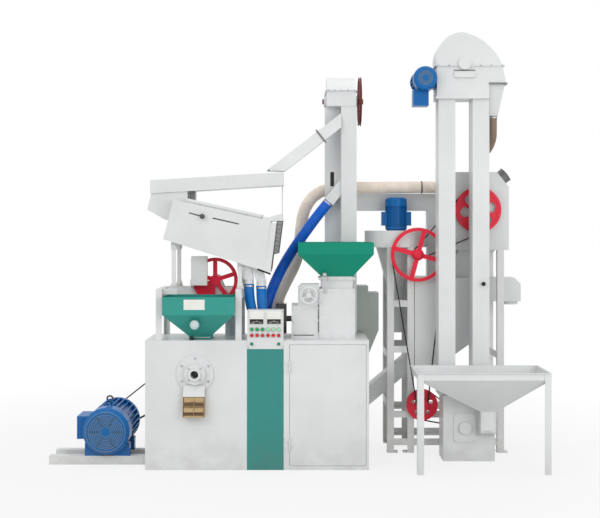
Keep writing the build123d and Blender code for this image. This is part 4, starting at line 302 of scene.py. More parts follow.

# Outlet of the mill: its cover, and dark sheets of painted shade under its louvre steps, as shares of the
# louvres they lie on
COVER_SHEET = 0.0015
CHUTE_X = (-0.5065, -0.3575)
CHUTE_COVER = ((-0.2585, 0.589), (-0.2801, 0.512))
CHUTE_FRONT = -0.2405
CHUTE_PROUD = 0.072
LOUVRE_COUNT = 4
LOUVRE_TOP = 0.51196
LOUVRE_STEP = 0.03424
LOUVRE_FIRST = 0.62
LOUVRE_BACK = 0.72
SHADE_SPANS = ((-0.4985, -0.4335), (-0.4275, -0.3655))
SHADE_SHARES = {1: (0.16, 0.86), 3: (0.02, 0.62)}

# Deck of the separator: slots, end guard, lip, rim of the lid and stay of the trough
DECK_BODY = "separator_deck_body"
DECK_FACE = -0.200
DECK_SLOTS = (((-0.471, 1.775), (-0.395, 1.755)), ((-0.307, 1.739), (-0.130, 1.699)))
SLOT_HALF = 0.0038
SLOT_SHEET = 0.0012
END_GUARD = ((0.138, 1.714), (0.177, 1.714), (0.150, 1.500), (0.113, 1.490))
GUARD_FACE = -0.1965
GUARD_SHEET = 0.003
GUARD_RAIL = 0.004
GUARD_TAIL = ((0.111, 1.482), (0.100, 1.392))
TAIL_HALF = 0.006
GUARD_SLATS = 24
SLAT_HALF = 0.0038
SLAT_FACE = -0.1969
SLAT_SHEET = 0.0022
LIP_ENDS = ((0.004, 1.383), (0.089, 1.352))
LIP_HALF = 0.006
LIP_SHEET = 0.003
LID_ENDS = ((-0.494, 1.8487), (0.029, 1.7342))
LID_Y = (-0.175, 0.195)
LID_SHEET = 0.012
RIM_TOP = 0.030
RIM_WALL = 0.005
STAY_X = (-0.489, -0.447)
STAY_TOP = (1.9318, 1.9344)
STAY_FACE = -0.032

SHARP_ANGLE = radians(66)
ROUND_STEPS = 8
EDGE_STEPS = 3
FRONT = (pi / 2, 0.0, 0.0)
SIDE = (0.0, pi / 2, 0.0)
UP = (0.0, 0.0, 0.0)


def surface_group(name, second, amount):
    """An empty shader group of a surface: its colour, a second colour, the amount of that, and its gloss."""
    tree = bpy.data.node_groups.new(name, "ShaderNodeTree")
    for label, kind in (("Color", "NodeSocketColor"), (second, "NodeSocketColor"),
                        (amount, "NodeSocketFloat"), ("Gloss", "NodeSocketFloat")):
        tree.interface.new_socket(label, in_out="INPUT", socket_type=kind)
    for label, kind in (("Color", "NodeSocketColor"), ("Roughness", "NodeSocketFloat"),
                        ("Height", "NodeSocketFloat")):
        tree.interface.new_socket(label, in_out="OUTPUT", socket_type=kind)
    return tree, tree.nodes.new("NodeGroupInput"), tree.nodes.new("NodeGroupOutput")


def noise(tree, vector, scale, detail, rough=0.55):
    node = tree.nodes.new("ShaderNodeTexNoise")
    node.inputs["Scale"].default_value = scale
    node.inputs["Detail"].default_value = detail
    node.inputs["Roughness"].default_value = rough
    tree.links.new(vector, node.inputs["Vector"])
    return node.outputs["Fac"]


def ramp(tree, value, low, high, start=0.0, end=1.0):
    """Maps a value range onto another, clamped."""
    node = tree.nodes.new("ShaderNodeMapRange")
    for label, number in (("From Min", low), ("From Max", high), ("To Min", start), ("To Max", end)):
        node.inputs[label].default_value = number
    tree.links.new(value, node.inputs["Value"])
    return node.outputs["Result"]


def maths(tree, operation, first, second):
    node = tree.nodes.new("ShaderNodeMath")
    node.operation = operation
    for socket, value in zip(node.inputs, (first, second)):
        if isinstance(value, (int, float)):
            socket.default_value = value
        else:
            tree.links.new(value, socket)
    return node.outputs["Value"]


def mixed(tree, share, first, second):
    """Blends two colours, each a socket or its numbers."""
    node = tree.nodes.new("ShaderNodeMix")
    node.data_type = "RGBA"
    tree.links.new(share, node.inputs["Factor"])
    sockets = [socket for socket in node.inputs if socket.type == "RGBA"]
    for socket, value in zip(sockets, (first, second)):
        if isinstance(value, tuple):
            socket.default_value = (*value, 1.0)
        else:
            tree.links.new(value, socket)
    return [socket for socket in node.outputs if socket.type == "RGBA"][0]


def object_place(tree):
    return tree.nodes.new("ShaderNodeTexCoord").outputs["Object"]


def split_place(tree, place):
    node = tree.nodes.new("ShaderNodeSeparateXYZ")
    tree.links.new(place, node.inputs["Vector"])
    return node.outputs


def within(tree, value, span):
    """One between two limits, and nothing outside them."""
    above = maths(tree, "GREATER_THAN", value, span[0])
    below = maths(tree, "LESS_THAN", value, span[1])
    return maths(tree, "MULTIPLY", above, below)


def make_paint_film():
    """Sprayed paint: cloudy tone, orange peel, small chips and grime that settles near the floor."""
    tree, given, out = surface_group("paint_film", "Under", "Chips")
    place = object_place(tree)
    cloud = ramp(tree, noise(tree, place, scale=2.2, detail=5.0), low=0.30, high=0.70)
    dulled = tree.nodes.new("ShaderNodeHueSaturation")
    dulled.inputs["Value"].default_value = 0.90
    dulled.inputs["Saturation"].default_value = 0.96
    tree.links.new(given.outputs["Color"], dulled.inputs["Color"])
    tone = mixed(tree, cloud, given.outputs["Color"], dulled.outputs["Color"])
    height = split_place(tree, place)["Z"]
    near_floor = ramp(tree, height, low=0.0, high=GRIME_TOP, start=GRIME_SHARE, end=0.0)
    smear = ramp(tree, noise(tree, place, scale=9.0, detail=6.0), low=0.35, high=0.65)
    grime = maths(tree, "MULTIPLY", near_floor, smear)
    dusty = mixed(tree, grime, tone, GRIME_BROWN)
    speck = ramp(tree, noise(tree, place, scale=46.0, detail=3.0, rough=0.7), low=0.735, high=0.765)
    patch = ramp(tree, noise(tree, place, scale=3.1, detail=3.0), low=0.52, high=0.62)
    chip = maths(tree, "MULTIPLY", maths(tree, "MULTIPLY", speck, patch), given.outputs["Chips"])
    tree.links.new(mixed(tree, chip, dusty, given.outputs["Under"]), out.inputs["Color"])
    worn = maths(tree, "ADD", given.outputs["Gloss"], maths(tree, "MULTIPLY", cloud, CLOUD_HAZE))
    rough = maths(tree, "ADD", worn, maths(tree, "MULTIPLY", chip, CHIP_HAZE))
    tree.links.new(rough, out.inputs["Roughness"])
    peel = noise(tree, place, scale=260.0, detail=2.0)
    relief = maths(tree, "SUBTRACT", peel, maths(tree, "MULTIPLY", chip, CHIP_DEPTH))
    tree.links.new(relief, out.inputs["Height"])
    return tree


def make_metal_grain():
    """Machined or cast metal: fine streaks, dark stains and specks of rust."""
    tree, given, out = surface_group("metal_grain", "Stain", "Stains")
    place = object_place(tree)
    stretch = tree.nodes.new("ShaderNodeMapping")
    stretch.inputs["Scale"].default_value = (1.0, 0.06, 1.0)
    tree.links.new(place, stretch.inputs["Vector"])
    streak = noise(tree, stretch.outputs["Vector"], scale=320.0, detail=3.0)
    spots = ramp(tree, noise(tree, place, scale=14.0, detail=6.0, rough=0.65), low=0.50, high=0.70)
    stain = maths(tree, "MULTIPLY", spots, given.outputs["Stains"])
    tree.links.new(mixed(tree, stain, given.outputs["Color"], given.outputs["Stain"]), out.inputs["Color"])
    brushed = maths(tree, "ADD", given.outputs["Gloss"], maths(tree, "MULTIPLY", streak, STREAK_HAZE))
    rough = maths(tree, "ADD", brushed, maths(tree, "MULTIPLY", stain, STAIN_HAZE))
    tree.links.new(rough, out.inputs["Roughness"])
    pits = noise(tree, place, scale=120.0, detail=3.0)
    tree.links.new(maths(tree, "ADD", streak, pits), out.inputs["Height"])
    return tree


def make_moulded():
    """Moulded plastic or rubber: slight tone drift, handling haze and a fine texture."""
    tree, given, out = surface_group("moulded", "Dust", "Dusting")
    place = object_place(tree)
    haze = ramp(tree, noise(tree, place, scale=11.0, detail=6.0, rough=0.6), low=0.42, high=0.72)
    dusting = maths(tree, "MULTIPLY", haze, given.outputs["Dusting"])
    tree.links.new(mixed(tree, dusting, given.outputs["Color"], given.outputs["Dust"]), out.inputs["Color"])
    rough = maths(tree, "ADD", given.outputs["Gloss"], maths(tree, "MULTIPLY", haze, DUST_HAZE))
    tree.links.new(rough, out.inputs["Roughness"])
    tree.links.new(noise(tree, place, scale=420.0, detail=2.0), out.inputs["Height"])
    return tree


PAINT_FILM = make_paint_film()
METAL_GRAIN = make_metal_grain()
MOULDED = make_moulded()


def finish_material(name, group, colour, second, amount, gloss, metallic=0.0, bump=0.06, coat=0.0,
                    specular=0.5):
    """A material that shows one of the shared surface groups."""
    material = bpy.data.materials.new(name)
    material.use_nodes = True
    tree = material.node_tree
    shader = tree.nodes["Principled BSDF"]
    surface = tree.nodes.new("ShaderNodeGroup")
    surface.node_tree = group
    values = ((*colour, 1.0), (*second, 1.0), amount, gloss)
    for socket, value in zip(surface.inputs, values):
        socket.default_value = value
    tree.links.new(surface.outputs["Color"], shader.inputs["Base Color"])
    tree.links.new(surface.outputs["Roughness"], shader.inputs["Roughness"])
    relief = tree.nodes.new("ShaderNodeBump")
    relief.inputs["Strength"].default_value = bump
    relief.inputs["Distance"].default_value = TEXTURE_DEPTH
    tree.links.new(surface.outputs["Height"], relief.inputs["Height"])
    tree.links.new(relief.outputs["Normal"], shader.inputs["Normal"])
    shader.inputs["Metallic"].default_value = metallic
    shader.inputs["Coat Weight"].default_value = coat
    shader.inputs["Specular IOR Level"].default_value = specular
    return material


def painted(name, colour, chips=0.5, gloss=0.34):
    return finish_material(name, PAINT_FILM, colour, PRIMER_GREY, chips, gloss,
                           bump=0.10, coat=0.04, specular=0.14)


def metal(name, colour, stains, gloss):
    return finish_material(name, METAL_GRAIN, colour, RUST_BROWN, stains, gloss, metallic=0.9, bump=0.12)


def plastic(name, colour, dusting, gloss):
    return finish_material(name, MOULDED, colour, DUST_TAN, dusting, gloss, bump=0.08, specular=0.16)


def duct_paint():
    """White painted ducts; on the husk duct beside the rear elevator a grey-green is painted as shade."""
    material = painted("duct_sheet", WHITE_PAINT)
    tree = material.node_tree
    place = split_place(tree, object_place(tree))
    across = within(tree, place["X"], HUSK_DUCT_X)
    # Inside the husk duct's box the white turns grey-green: painted shade
    shaded_zone = maths(tree, "MULTIPLY", across, within(tree, place["Z"], HUSK_DUCT_Z))
    surface = next(node for node in tree.nodes if node.type == "GROUP")
    tree.links.new(mixed(tree, shaded_zone, WHITE_PAINT, DUCT_SHADE_GREY), surface.inputs["Color"])
    return material


SHEET_WHITE = painted("sheet_white", WHITE_PAINT)
STAND_CREAM = painted("stand_cream", CREAM_PAINT, chips=0.8, gloss=0.40)
PANEL_TEAL = painted("panel_teal", TEAL_PAINT, chips=0.3)
HOPPER_PAINT = painted("hopper_teal", HOPPER_TEAL, chips=0.6)
HUSKER_PAINT = painted("hopper_green", HUSKER_GREEN, chips=0.6, gloss=0.28)
RED_PAINT = painted("wheel_red", WHEEL_RED, chips=0.7, gloss=0.26)
BROWN_PAINT = painted("wheel_brown", WHEEL_BROWN, chips=0.8, gloss=0.42)
BLUE_PAINT = painted("motor_blue", MOTOR_BLUE, gloss=0.26)
GRILLE_PAINT = painted("grille_grey", GRILLE_GREY, gloss=0.30)
STEEL = metal("turned_steel", STEEL_GREY, stains=0.30, gloss=0.28)
IRON = metal("cast_iron", IRON_GREY, stains=0.45, gloss=0.46)
ZINC = metal("dull_zinc", ZINC_GREY, stains=0.25, gloss=0.42)
BRASS = metal("yellow_sheet", BRASS_SHEET, stains=0.35, gloss=0.30)
RUBBER = plastic("belt_rubber", RUBBER_BLACK, dusting=0.12, gloss=0.62)
BLACK_PLASTIC = plastic("black_plastic", PLASTIC_BLACK, dusting=0.10, gloss=0.30)
GREEN_PLASTIC = plastic("button_green", BUTTON_GREEN, dusting=0.05, gloss=0.22)
LIT_PLASTIC = plastic("button_lit", BUTTON_LIT, dusting=0.05, gloss=0.22)
SIGHT_PLASTIC = plastic("sight_disc", SIGHT_PALE, dusting=0.20, gloss=0.20)
RED_PLASTIC = plastic("button_red", BUTTON_RED, dusting=0.05, gloss=0.22)
LAMP_PLASTIC = plastic("lamp_green", LAMP_GREEN, dusting=0.05, gloss=0.15)
DIAL_CARD = plastic("dial_card", DIAL_WHITE, dusting=0.10, gloss=0.45)
BLUE_HOSE = plastic("hose_blue", HOSE_BLUE, dusting=0.10, gloss=0.30)
SKY_HOSE = plastic("outlet_blue", OUTLET_BLUE, dusting=0.10, gloss=0.36)
CREAM_HOSE = plastic("hose_cream", HOSE_CREAM, dusting=0.25, gloss=0.38)
BROWN_HOSE = plastic("hose_brown", HOSE_BROWN, dusting=0.20, gloss=0.42)
LOUVRE_SHADE = painted("louvre_painted_shade", SHADE_BROWN, chips=0.0, gloss=0.60)
DUCT_SHEET = duct_paint()
RIBBED_FINISHES = (CREAM_HOSE, BROWN_HOSE)

NODE_FINISHES = {
    DUCT_SHEET: ["transfer_ducts"],
    PANEL_TEAL: ["centre_panel"],
    HOPPER_PAINT: ["mill_hopper"],
    HUSKER_PAINT: ["husker_hopper"],
    RED_PAINT: ["separator_pulley", "sieve_pulley", "destoner_pulley", "drive_pulley"],
    BROWN_PAINT: ["rear_head_shaft"],
    BLUE_PAINT: ["main_motor", "front_elevator_motor", "fan_motor"],
    STEEL: ["mill_gate", "husker_gate", "front_head_shaft", "front_boot_shaft"],
    IRON: ["mill_rotor", "fast_roller", "slow_roller", "main_motor_pulley"],
    STAND_CREAM: ["cleaner_frame", "motor_rails", "separator_frame", "rocker_arms_left", "rocker_arms_right"],
    BRASS: ["mill_outlet_chute"],
    DIAL_CARD: ["panel_instruments"],
    RUBBER: ["belts"],
    GREEN_PLASTIC: [f"start_button_{count}" for count in range(1, 4)],
    LIT_PLASTIC: [f"start_button_{count}" for count in range(4, 7)],
    RED_PLASTIC: [f"stop_button_{count}" for count in range(1, 7)],
}


def dress_nodes():
    """Gives each solid its finish; what isn't listed is white painted sheet."""
    chosen = {node: finish for finish, nodes in NODE_FINISHES.items() for node in nodes}
    for name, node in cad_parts.items():
        node.data.materials.clear()
        node.data.materials.append(chosen.get(name, SHEET_WHITE))


def add_piece(name, mesh_source, finish, body="machine", smooth=False):
    """Turns a bmesh into a piece of the object that rides on a body, if one is given."""
    mesh = bpy.data.meshes.new(name)
    mesh_source.to_mesh(mesh)
    mesh_source.free()
    for face in mesh.polygons:
        face.use_smooth = smooth
    if smooth:
        mesh.set_sharp_from_angle(angle=SHARP_ANGLE)
    mesh.materials.append(finish)
    piece = bpy.data.objects.new(name, mesh)
    bpy.context.collection.objects.link(piece)
    if body:
        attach(piece, body)
    return piece


def spread(low, high, count):
    """Even values from low to high."""
    return [low + (high - low) * step / (count - 1) for step in range(count)]


def row(x, y, z, count):
    """Points along X."""
    return [(value, y, z) for value in spread(*x, count)]


def side_row(y, x, z, count):
    """Points along Y."""
    return [(x, value, z) for value in spread(*y, count)]


def face_border(x, z, y, columns, rows):
    """Points round a rectangle on a face that looks to the front."""
    points = [(value, y, edge) for value in spread(*x, columns) for edge in z]
    return points + [(edge, y, value) for value in spread(*z, rows)[1:-1] for edge in x]


def circle(centre, radius, count, axes, first=0.0):
    """Points round a circle in the plane of two axes."""
    points = []
    for step in range(count):
        turn = first + step * 2 * pi / count
        point = list(centre)
        point[axes[0]] += radius * cos(turn)
        point[axes[1]] += radius * sin(turn)
        points.append(tuple(point))
    return points


def box_faces(mesh, low, high):
    """Adds an axis-aligned box to a bmesh."""
    middle = (Vector(low) + Vector(high)) / 2
    size = Vector(high) - Vector(low)
    made = bmesh.ops.create_cube(mesh, size=1.0)
    bmesh.ops.scale(mesh, vec=size, verts=made["verts"])
    bmesh.ops.translate(mesh, vec=middle, verts=made["verts"])
    return made["verts"]


def boxes(name, corners, finish):
    """Plain boxes as one piece, each from its low and high corner."""
    mesh = bmesh.new()
    for low, high in corners:
        box_faces(mesh, low, high)
    add_piece(name, mesh, finish)


def rounded_box(name, low, high, radius, finish):
    """A box with rounded edges."""
    mesh = bmesh.new()
    box_faces(mesh, low, high)
    bmesh.ops.bevel(mesh, geom=mesh.edges[:], offset=radius, segments=EDGE_STEPS, affect="EDGES", profile=0.5)
    add_piece(name, mesh, finish)


def flat_outline(mesh, points, back, thick):
    """Adds a flat plate that faces the front, from its outline in X and Z."""
    near = [mesh.verts.new((x, back - thick, z)) for x, z in points]
    far = [mesh.verts.new((x, back, z)) for x, z in points]
    mesh.faces.new(near)
    mesh.faces.new(list(reversed(far)))
    for index in range(len(points)):
        after = (index + 1) % len(points)
        mesh.faces.new((near[index], far[index], far[after], near[after]))


def plates(name, outlines, finish, body="machine"):
    """Flat plates as one piece, each from its outline, the depth of its back and its thickness."""
    mesh = bmesh.new()
    for points, back, thick in outlines:
        flat_outline(mesh, points, back, thick)
    bmesh.ops.recalc_face_normals(mesh, faces=mesh.faces)
    add_piece(name, mesh, finish, body)


def bar_outline(start, end, half):
    """Outline of a straight bar with round ends."""
    first = Vector(start)
    second = Vector(end)
    run = (second - first).normalized()
    across = Vector((-run.y, run.x))
    points = []
    for middle, turn in ((second, -pi / 2), (first, pi / 2)):
        for step in range(ROUND_STEPS + 1):
            angle = turn + pi * step / ROUND_STEPS
            points.append(tuple(middle + (run * cos(angle) + across * sin(angle)) * half))
    return points


def thin_sheet(mesh, x, upper, lower):
    """Adds a thin sheet on a sloping front, between two places given by their depth and height."""
    corners = [(x[0], *upper), (x[1], *upper), (x[1], *lower), (x[0], *lower)]
    verts = [mesh.verts.new((side, y - proud, z)) for proud in (0.0, COVER_SHEET) for side, y, z in corners]
    bmesh.ops.convex_hull(mesh, input=verts)
    bmesh.ops.recalc_face_normals(mesh, faces=mesh.faces)


def lathe(profile, sides=TURNED_SIDES, ring=False, mesh=None):
    """A turned form about the Y axis, from pairs of radius and place along it; a ring closes on itself."""
    mesh = mesh or bmesh.new()
    rows = []
    for reach, along in profile:
        count = sides if reach else 1
        turns = [2 * pi * side / sides for side in range(count)]
        rows.append([mesh.verts.new((reach * cos(turn), along, reach * sin(turn))) for turn in turns])
    pairs = list(zip(rows, rows[1:]))
    if ring:
        pairs.append((rows[-1], rows[0]))
    for first, second in pairs:
        for side in range(sides):
            after = (side + 1) % sides
            corners = [first[side % len(first)], first[after % len(first)],
                       second[after % len(second)], second[side % len(second)]]
            mesh.faces.new(list(dict.fromkeys(corners)))
    bmesh.ops.recalc_face_normals(mesh, faces=mesh.faces)
    return mesh


def turned(name, mesh, centre, finish, body="machine", axis=(0.0, 1.0, 0.0)):
    """Sets a turned form on its place and axis."""
    swing = Vector((0.0, 1.0, 0.0)).rotation_difference(Vector(axis)).to_matrix()
    bmesh.ops.rotate(mesh, verts=mesh.verts, cent=(0.0, 0.0, 0.0), matrix=swing)
    bmesh.ops.translate(mesh, verts=mesh.verts, vec=centre)
    add_piece(name, mesh, finish, body, smooth=True)


def knob(name, centre, radius, finish, body="machine"):
    """A turned ball knob with a flat collar, facing the front."""
    profile = [(reach * radius, along * radius) for reach, along in KNOB_PROFILE]
    turned(name, lathe(profile), centre, finish, body)


def wire_rings(name, centre, radii, wire, finish):
    """Rings of round wire about an axis that points to the front."""
    mesh = bmesh.new()
    turns = [2 * pi * side / WIRE_SIDES for side in range(WIRE_SIDES)]
    for radius in radii:
        profile = [(radius + wire * cos(turn), wire * sin(turn)) for turn in turns]
        lathe(profile, RING_SIDES, ring=True, mesh=mesh)
    turned(name, mesh, centre, finish)


def tube_mesh(points, radii, sides):
    """A closed tube through points, with a ring of its own radius at each."""
    mesh = bmesh.new()
    rings = []
    normal = None
    for index, point in enumerate(points):
        ahead = points[min(index + 1, len(points) - 1)] - points[max(index - 1, 0)]
        direction = ahead.normalized()
        if normal is None:
            normal = direction.orthogonal().normalized()
        normal = (normal - direction * normal.dot(direction)).normalized()
        across = direction.cross(normal)
        ring = []
        for side in range(sides):
            turn = 2 * pi * side / sides
            ring.append(mesh.verts.new(point + (normal * cos(turn) + across * sin(turn)) * radii[index]))
        rings.append(ring)
    for first, second in zip(rings, rings[1:]):
        for side in range(sides):
            after = (side + 1) % sides
            mesh.faces.new((first[side], first[after], second[after], second[side]))
    mesh.faces.new(list(reversed(rings[0])))
    mesh.faces.new(rings[-1])
    bmesh.ops.recalc_face_normals(mesh, faces=mesh.faces)
    return mesh


def curve_points(route, spacing):
    """Evenly spaced points of the smooth curve that a route draws, and its length."""
    data = bpy.data.curves.new("route", "CURVE")
    data.dimensions = "3D"
    spline = data.splines.new("NURBS")
    spline.points.add(len(route) - 1)
    for target, point in zip(spline.points, route):
        target.co = (*point, 1.0)
    spline.order_u = 3
    spline.use_endpoint_u = True
    spline.resolution_u = ROUTE_STEPS
    holder = bpy.data.objects.new("route", data)
    bpy.context.collection.objects.link(holder)
    graph = bpy.context.evaluated_depsgraph_get()
    line = bpy.data.meshes.new_from_object(holder.evaluated_get(graph))
    fine = [vertex.co.copy() for vertex in line.vertices]
    bpy.data.objects.remove(holder)
    bpy.data.meshes.remove(line)
    lengths = [0.0]
    for first, second in zip(fine, fine[1:]):
        lengths.append(lengths[-1] + (second - first).length)
    count = max(2, round(lengths[-1] / spacing))
    points = []
    index = 0
    for step in range(count + 1):
        along = lengths[-1] * step / count
        while index < len(fine) - 2 and lengths[index + 1] < along:
            index += 1
        share = (along - lengths[index]) / max(lengths[index + 1] - lengths[index], 1e-9)
        points.append(fine[index].lerp(fine[index + 1], min(max(share, 0.0), 1.0)))
    return points, lengths[-1]


def make_hex_heads():
    """Hexagon heads on washers at the vertices of a mesh, all facing one way."""
    tree = bpy.data.node_groups.new("hex_heads", "GeometryNodeTree")
    tree.interface.new_socket("Geometry", in_out="INPUT", socket_type="NodeSocketGeometry")
    for label, kind in (("Head Radius", "NodeSocketFloat"), ("Head Height", "NodeSocketFloat"),
                        ("Facing", "NodeSocketVector"), ("Finish", "NodeSocketMaterial")):
        tree.interface.new_socket(label, in_out="INPUT", socket_type=kind)
    tree.interface.new_socket("Geometry", in_out="OUTPUT", socket_type="NodeSocketGeometry")
    given = tree.nodes.new("NodeGroupInput")
    out = tree.nodes.new("NodeGroupOutput")
    link = tree.links.new

    def disc(sides, radius_share, height_share, base_share):
        cylinder = tree.nodes.new("GeometryNodeMeshCylinder")
        cylinder.inputs["Vertices"].default_value = sides
        link(maths(tree, "MULTIPLY", given.outputs["Head Radius"], radius_share), cylinder.inputs["Radius"])
        link(maths(tree, "MULTIPLY", given.outputs["Head Height"], height_share), cylinder.inputs["Depth"])
        lift = tree.nodes.new("GeometryNodeTransform")
        combine = tree.nodes.new("ShaderNodeCombineXYZ")
        link(maths(tree, "MULTIPLY", given.outputs["Head Height"], base_share), combine.inputs["Z"])
        link(combine.outputs["Vector"], lift.inputs["Translation"])
        link(cylinder.outputs["Mesh"], lift.inputs["Geometry"])
        return lift.outputs["Geometry"]

    joined = tree.nodes.new("GeometryNodeJoinGeometry")
    head = disc(sides=6, radius_share=1.0, height_share=0.75, base_share=0.62)
    washer = disc(sides=16, radius_share=1.45, height_share=0.25, base_share=0.125)
    link(head, joined.inputs["Geometry"])
    link(washer, joined.inputs["Geometry"])
    points = tree.nodes.new("GeometryNodeMeshToPoints")
    link(given.outputs["Geometry"], points.inputs["Mesh"])
    turn = tree.nodes.new("FunctionNodeEulerToRotation")
    link(given.outputs["Facing"], turn.inputs["Euler"])
    placed = tree.nodes.new("GeometryNodeInstanceOnPoints")
    link(points.outputs["Points"], placed.inputs["Points"])
    link(joined.outputs["Geometry"], placed.inputs["Instance"])
    link(turn.outputs["Rotation"], placed.inputs["Rotation"])
    real = tree.nodes.new("GeometryNodeRealizeInstances")
    link(placed.outputs["Instances"], real.inputs["Geometry"])
    coated = tree.nodes.new("GeometryNodeSetMaterial")
    link(real.outputs["Geometry"], coated.inputs["Geometry"])
    link(given.outputs["Finish"], coated.inputs["Material"])
    link(coated.outputs["Geometry"], out.inputs["Geometry"])
    return tree


HEX_HEADS = make_hex_heads()


def bolts(name, points, facing, size, finish=STEEL):
    """A set of hexagon heads at points of one face."""
    seed = bpy.data.meshes.new(name + "_points")
    seed.from_pydata(points, [], [])
    holder = bpy.data.objects.new(name + "_points", seed)
    bpy.context.collection.objects.link(holder)
    modifier = holder.modifiers.new("heads", "NODES")
    modifier.node_group = HEX_HEADS
    values = {"Head Radius": size[0], "Head Height": size[1], "Facing": facing, "Finish": finish}
    for item in HEX_HEADS.interface.items_tree:
        if item.in_out == "INPUT" and item.name in values:
            modifier[item.identifier] = values[item.name]
    graph = bpy.context.evaluated_depsgraph_get()
    mesh = bpy.data.meshes.new_from_object(holder.evaluated_get(graph))
    mesh.name = name
    bpy.data.objects.remove(holder)
    piece = bpy.data.objects.new(name, mesh)
    bpy.context.collection.objects.link(piece)
    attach(piece, "machine")


def fasten_casings():
    """Bolt heads on flanges and covers."""
    low, high = (Vector(corner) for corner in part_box("husker_casing"))
    cover_x = tuple(high.x - edge for edge in HUSKER_COVER_EDGES)
    cover_z = (low.z + HUSKER_COVER_FOOT, HUSKER_COVER_TOP)
    cover = face_border(cover_x, cover_z, HUSKER_COVER_FACE, *HUSKER_COVER_GRID)
    bolts("husker_cover_bolts", cover, FRONT, COVER_BOLT, SHEET_WHITE)
    gearbox_x = tuple(low.x + edge for edge in GEARBOX_COVER_EDGES)
    gearbox = face_border(gearbox_x, GEARBOX_COVER_Z, GEARBOX_FACE, *GEARBOX_GRID)
    bolts("gearbox_bolts", gearbox, FRONT, COVER_BOLT, SHEET_WHITE)
    bolts("neck_flange_bolts", row(*NECK_ROW), FRONT, FLANGE_BOLT, SHEET_WHITE)
    bolts("mill_flange_bolts", circle(*MILL_FLANGE), FRONT, FLANGE_BOLT)
    bolts("mill_ring_bolts", circle(*MILL_RING), FRONT, BAND_BOLT)
    bolts("fan_flange_bolts", circle(*FAN_FLANGE), UP, FLANGE_BOLT)
    bolts("sieve_flange_bolts", row(*SIEVE_ROW), FRONT, BAND_BOLT)
    bolts("boot_plate_bolts", face_border(*BOOT_PLATE), FRONT, FLANGE_BOLT, SHEET_WHITE)
    bolts("head_band_bolts", row(*HEAD_ROW), FRONT, BAND_BOLT)
    bolts("head_side_bolts", side_row(*HEAD_SIDE_ROW), SIDE, SHEET_SCREW)
    bolts("rear_head_bolts", row(*REAR_HEAD_ROW), FRONT, SHEET_SCREW)
    bolts("control_screws", face_border(*CONTROL_BOX), FRONT, BOX_SCREW)
    feet = [(x, y, MOTOR_FEET_Z) for x in MOTOR_FEET_X for y in MOTOR_FEET_Y]
    bolts("motor_foot_bolts", feet, UP, FOOT_BOLT)


def ribbed_hose(name, route, radius, finish, nodes, bend=None):
    """A corrugated hose: rounded ribs at an even pitch between two plain cuffs."""
    points, length = curve_points(route, RIB_PITCH / len(RIB_WAVE))
    depth = RIB_DEPTH if finish in RIBBED_FINISHES else SMOOTH_DEPTH
    radii = []
    for index in range(len(points)):
        plain = index < CUFF_RINGS or index >= len(points) - CUFF_RINGS
        groove = depth * (1 - RIB_WAVE[index % len(RIB_WAVE)])
        radii.append(radius - (CUFF_INSET if plain else groove))
    body = None if bend else "machine"
    piece = add_piece(name, tube_mesh(points, radii, HOSE_SIDES), finish, body, smooth=True)
    if bend:
        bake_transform(piece)
    if nodes:
        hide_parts(*nodes)


def outlet_route(top_x, top_z, lean):
    """Down from a spout of the deck, with a bend to the side, to the cabinet's top."""
    height = top_z - CABINET_TOP
    upper, lower = (top_z - height * share for share in OUTLET_BENDS)
    return [(top_x, OUTLET_Y, top_z), (top_x, OUTLET_Y, upper),
            (top_x + lean, OUTLET_Y, lower), (top_x + lean, OUTLET_Y, CABINET_TOP)]


def lay_hoses():
    """Hoses from fitting to fitting; the two at the outlets, from the deck down to the cabinet, are attached
    to no body.
    """
    ribbed_hose("return_hose_ribbed", RETURN_ROUTE, RETURN_RADIUS, BLUE_HOSE, ["return_hose"])
    ribbed_hose("suction_hose_ribbed", SUCTION_ROUTE, SUCTION_RADIUS, CREAM_HOSE, ["suction_hose"])
    ribbed_hose("feed_hose_ribbed", FEED_ROUTE, FEED_RADIUS, BROWN_HOSE, ["feed_hose"])
    for count, place in enumerate(OUTLET_TOPS, 1):
        route = outlet_route(*place)
        bend = (DECK_BODY, "machine", route[0], route[-1])
        nodes = ["outlet_hoses"] if count == 1 else []
        ribbed_hose(f"outlet_hose_ribbed_{count}", route, OUTLET_RADIUS, SKY_HOSE, nodes, bend)


def clamp(name, start, toward, span, radii, finish=STEEL, body="machine", sides=CLAMP_SIDES):
    """A band round a hose, from its span along the hose and its inner and outer radius."""
    near, far = span
    inner, outer = radii
    steps = (near, near + CLAMP_EDGE, far - CLAMP_EDGE, far)
    points = [Vector(start) + Vector(toward) * step for step in steps]
    add_piece(name, tube_mesh(points, [inner, outer, outer, inner], sides), finish, body)


def clamp_rings():
    """Clamps at both ends of the hoses that stay still, and on the cuff of the suction hose."""
    hoses = {
        "return": (RETURN_ROUTE, RETURN_RADIUS),
        "suction": (SUCTION_ROUTE, SUCTION_RADIUS),
        "feed": (FEED_ROUTE, FEED_RADIUS),
    }
    for name, (route, radius) in hoses.items():
        for count, (start, following) in enumerate(((route[0], route[1]), (route[-1], route[-2])), 1):
            toward = (Vector(following) - Vector(start)).normalized()
            clamp(f"{name}_clamp_{count}", start, toward, CLAMP_SPAN, (radius, radius + CLAMP_RISE))
    clamp("suction_cuff_clamp", CUFF_PLACE, (1.0, 0.0, 0.0), CUFF_SPAN, CUFF_RADII, IRON)


def scale_bar(mesh, pivot, angle, half, span):
    """Adds a thin bar of a meter's scale, turned about the pivot of its needle."""
    verts = box_faces(mesh, (-half[0], -half[1], span[0]), (half[0], half[1], span[1]))
    swing = Matrix.Rotation(radians(angle), 4, "Y")
    bmesh.ops.transform(mesh, matrix=Matrix.Translation(pivot) @ swing, verts=verts)


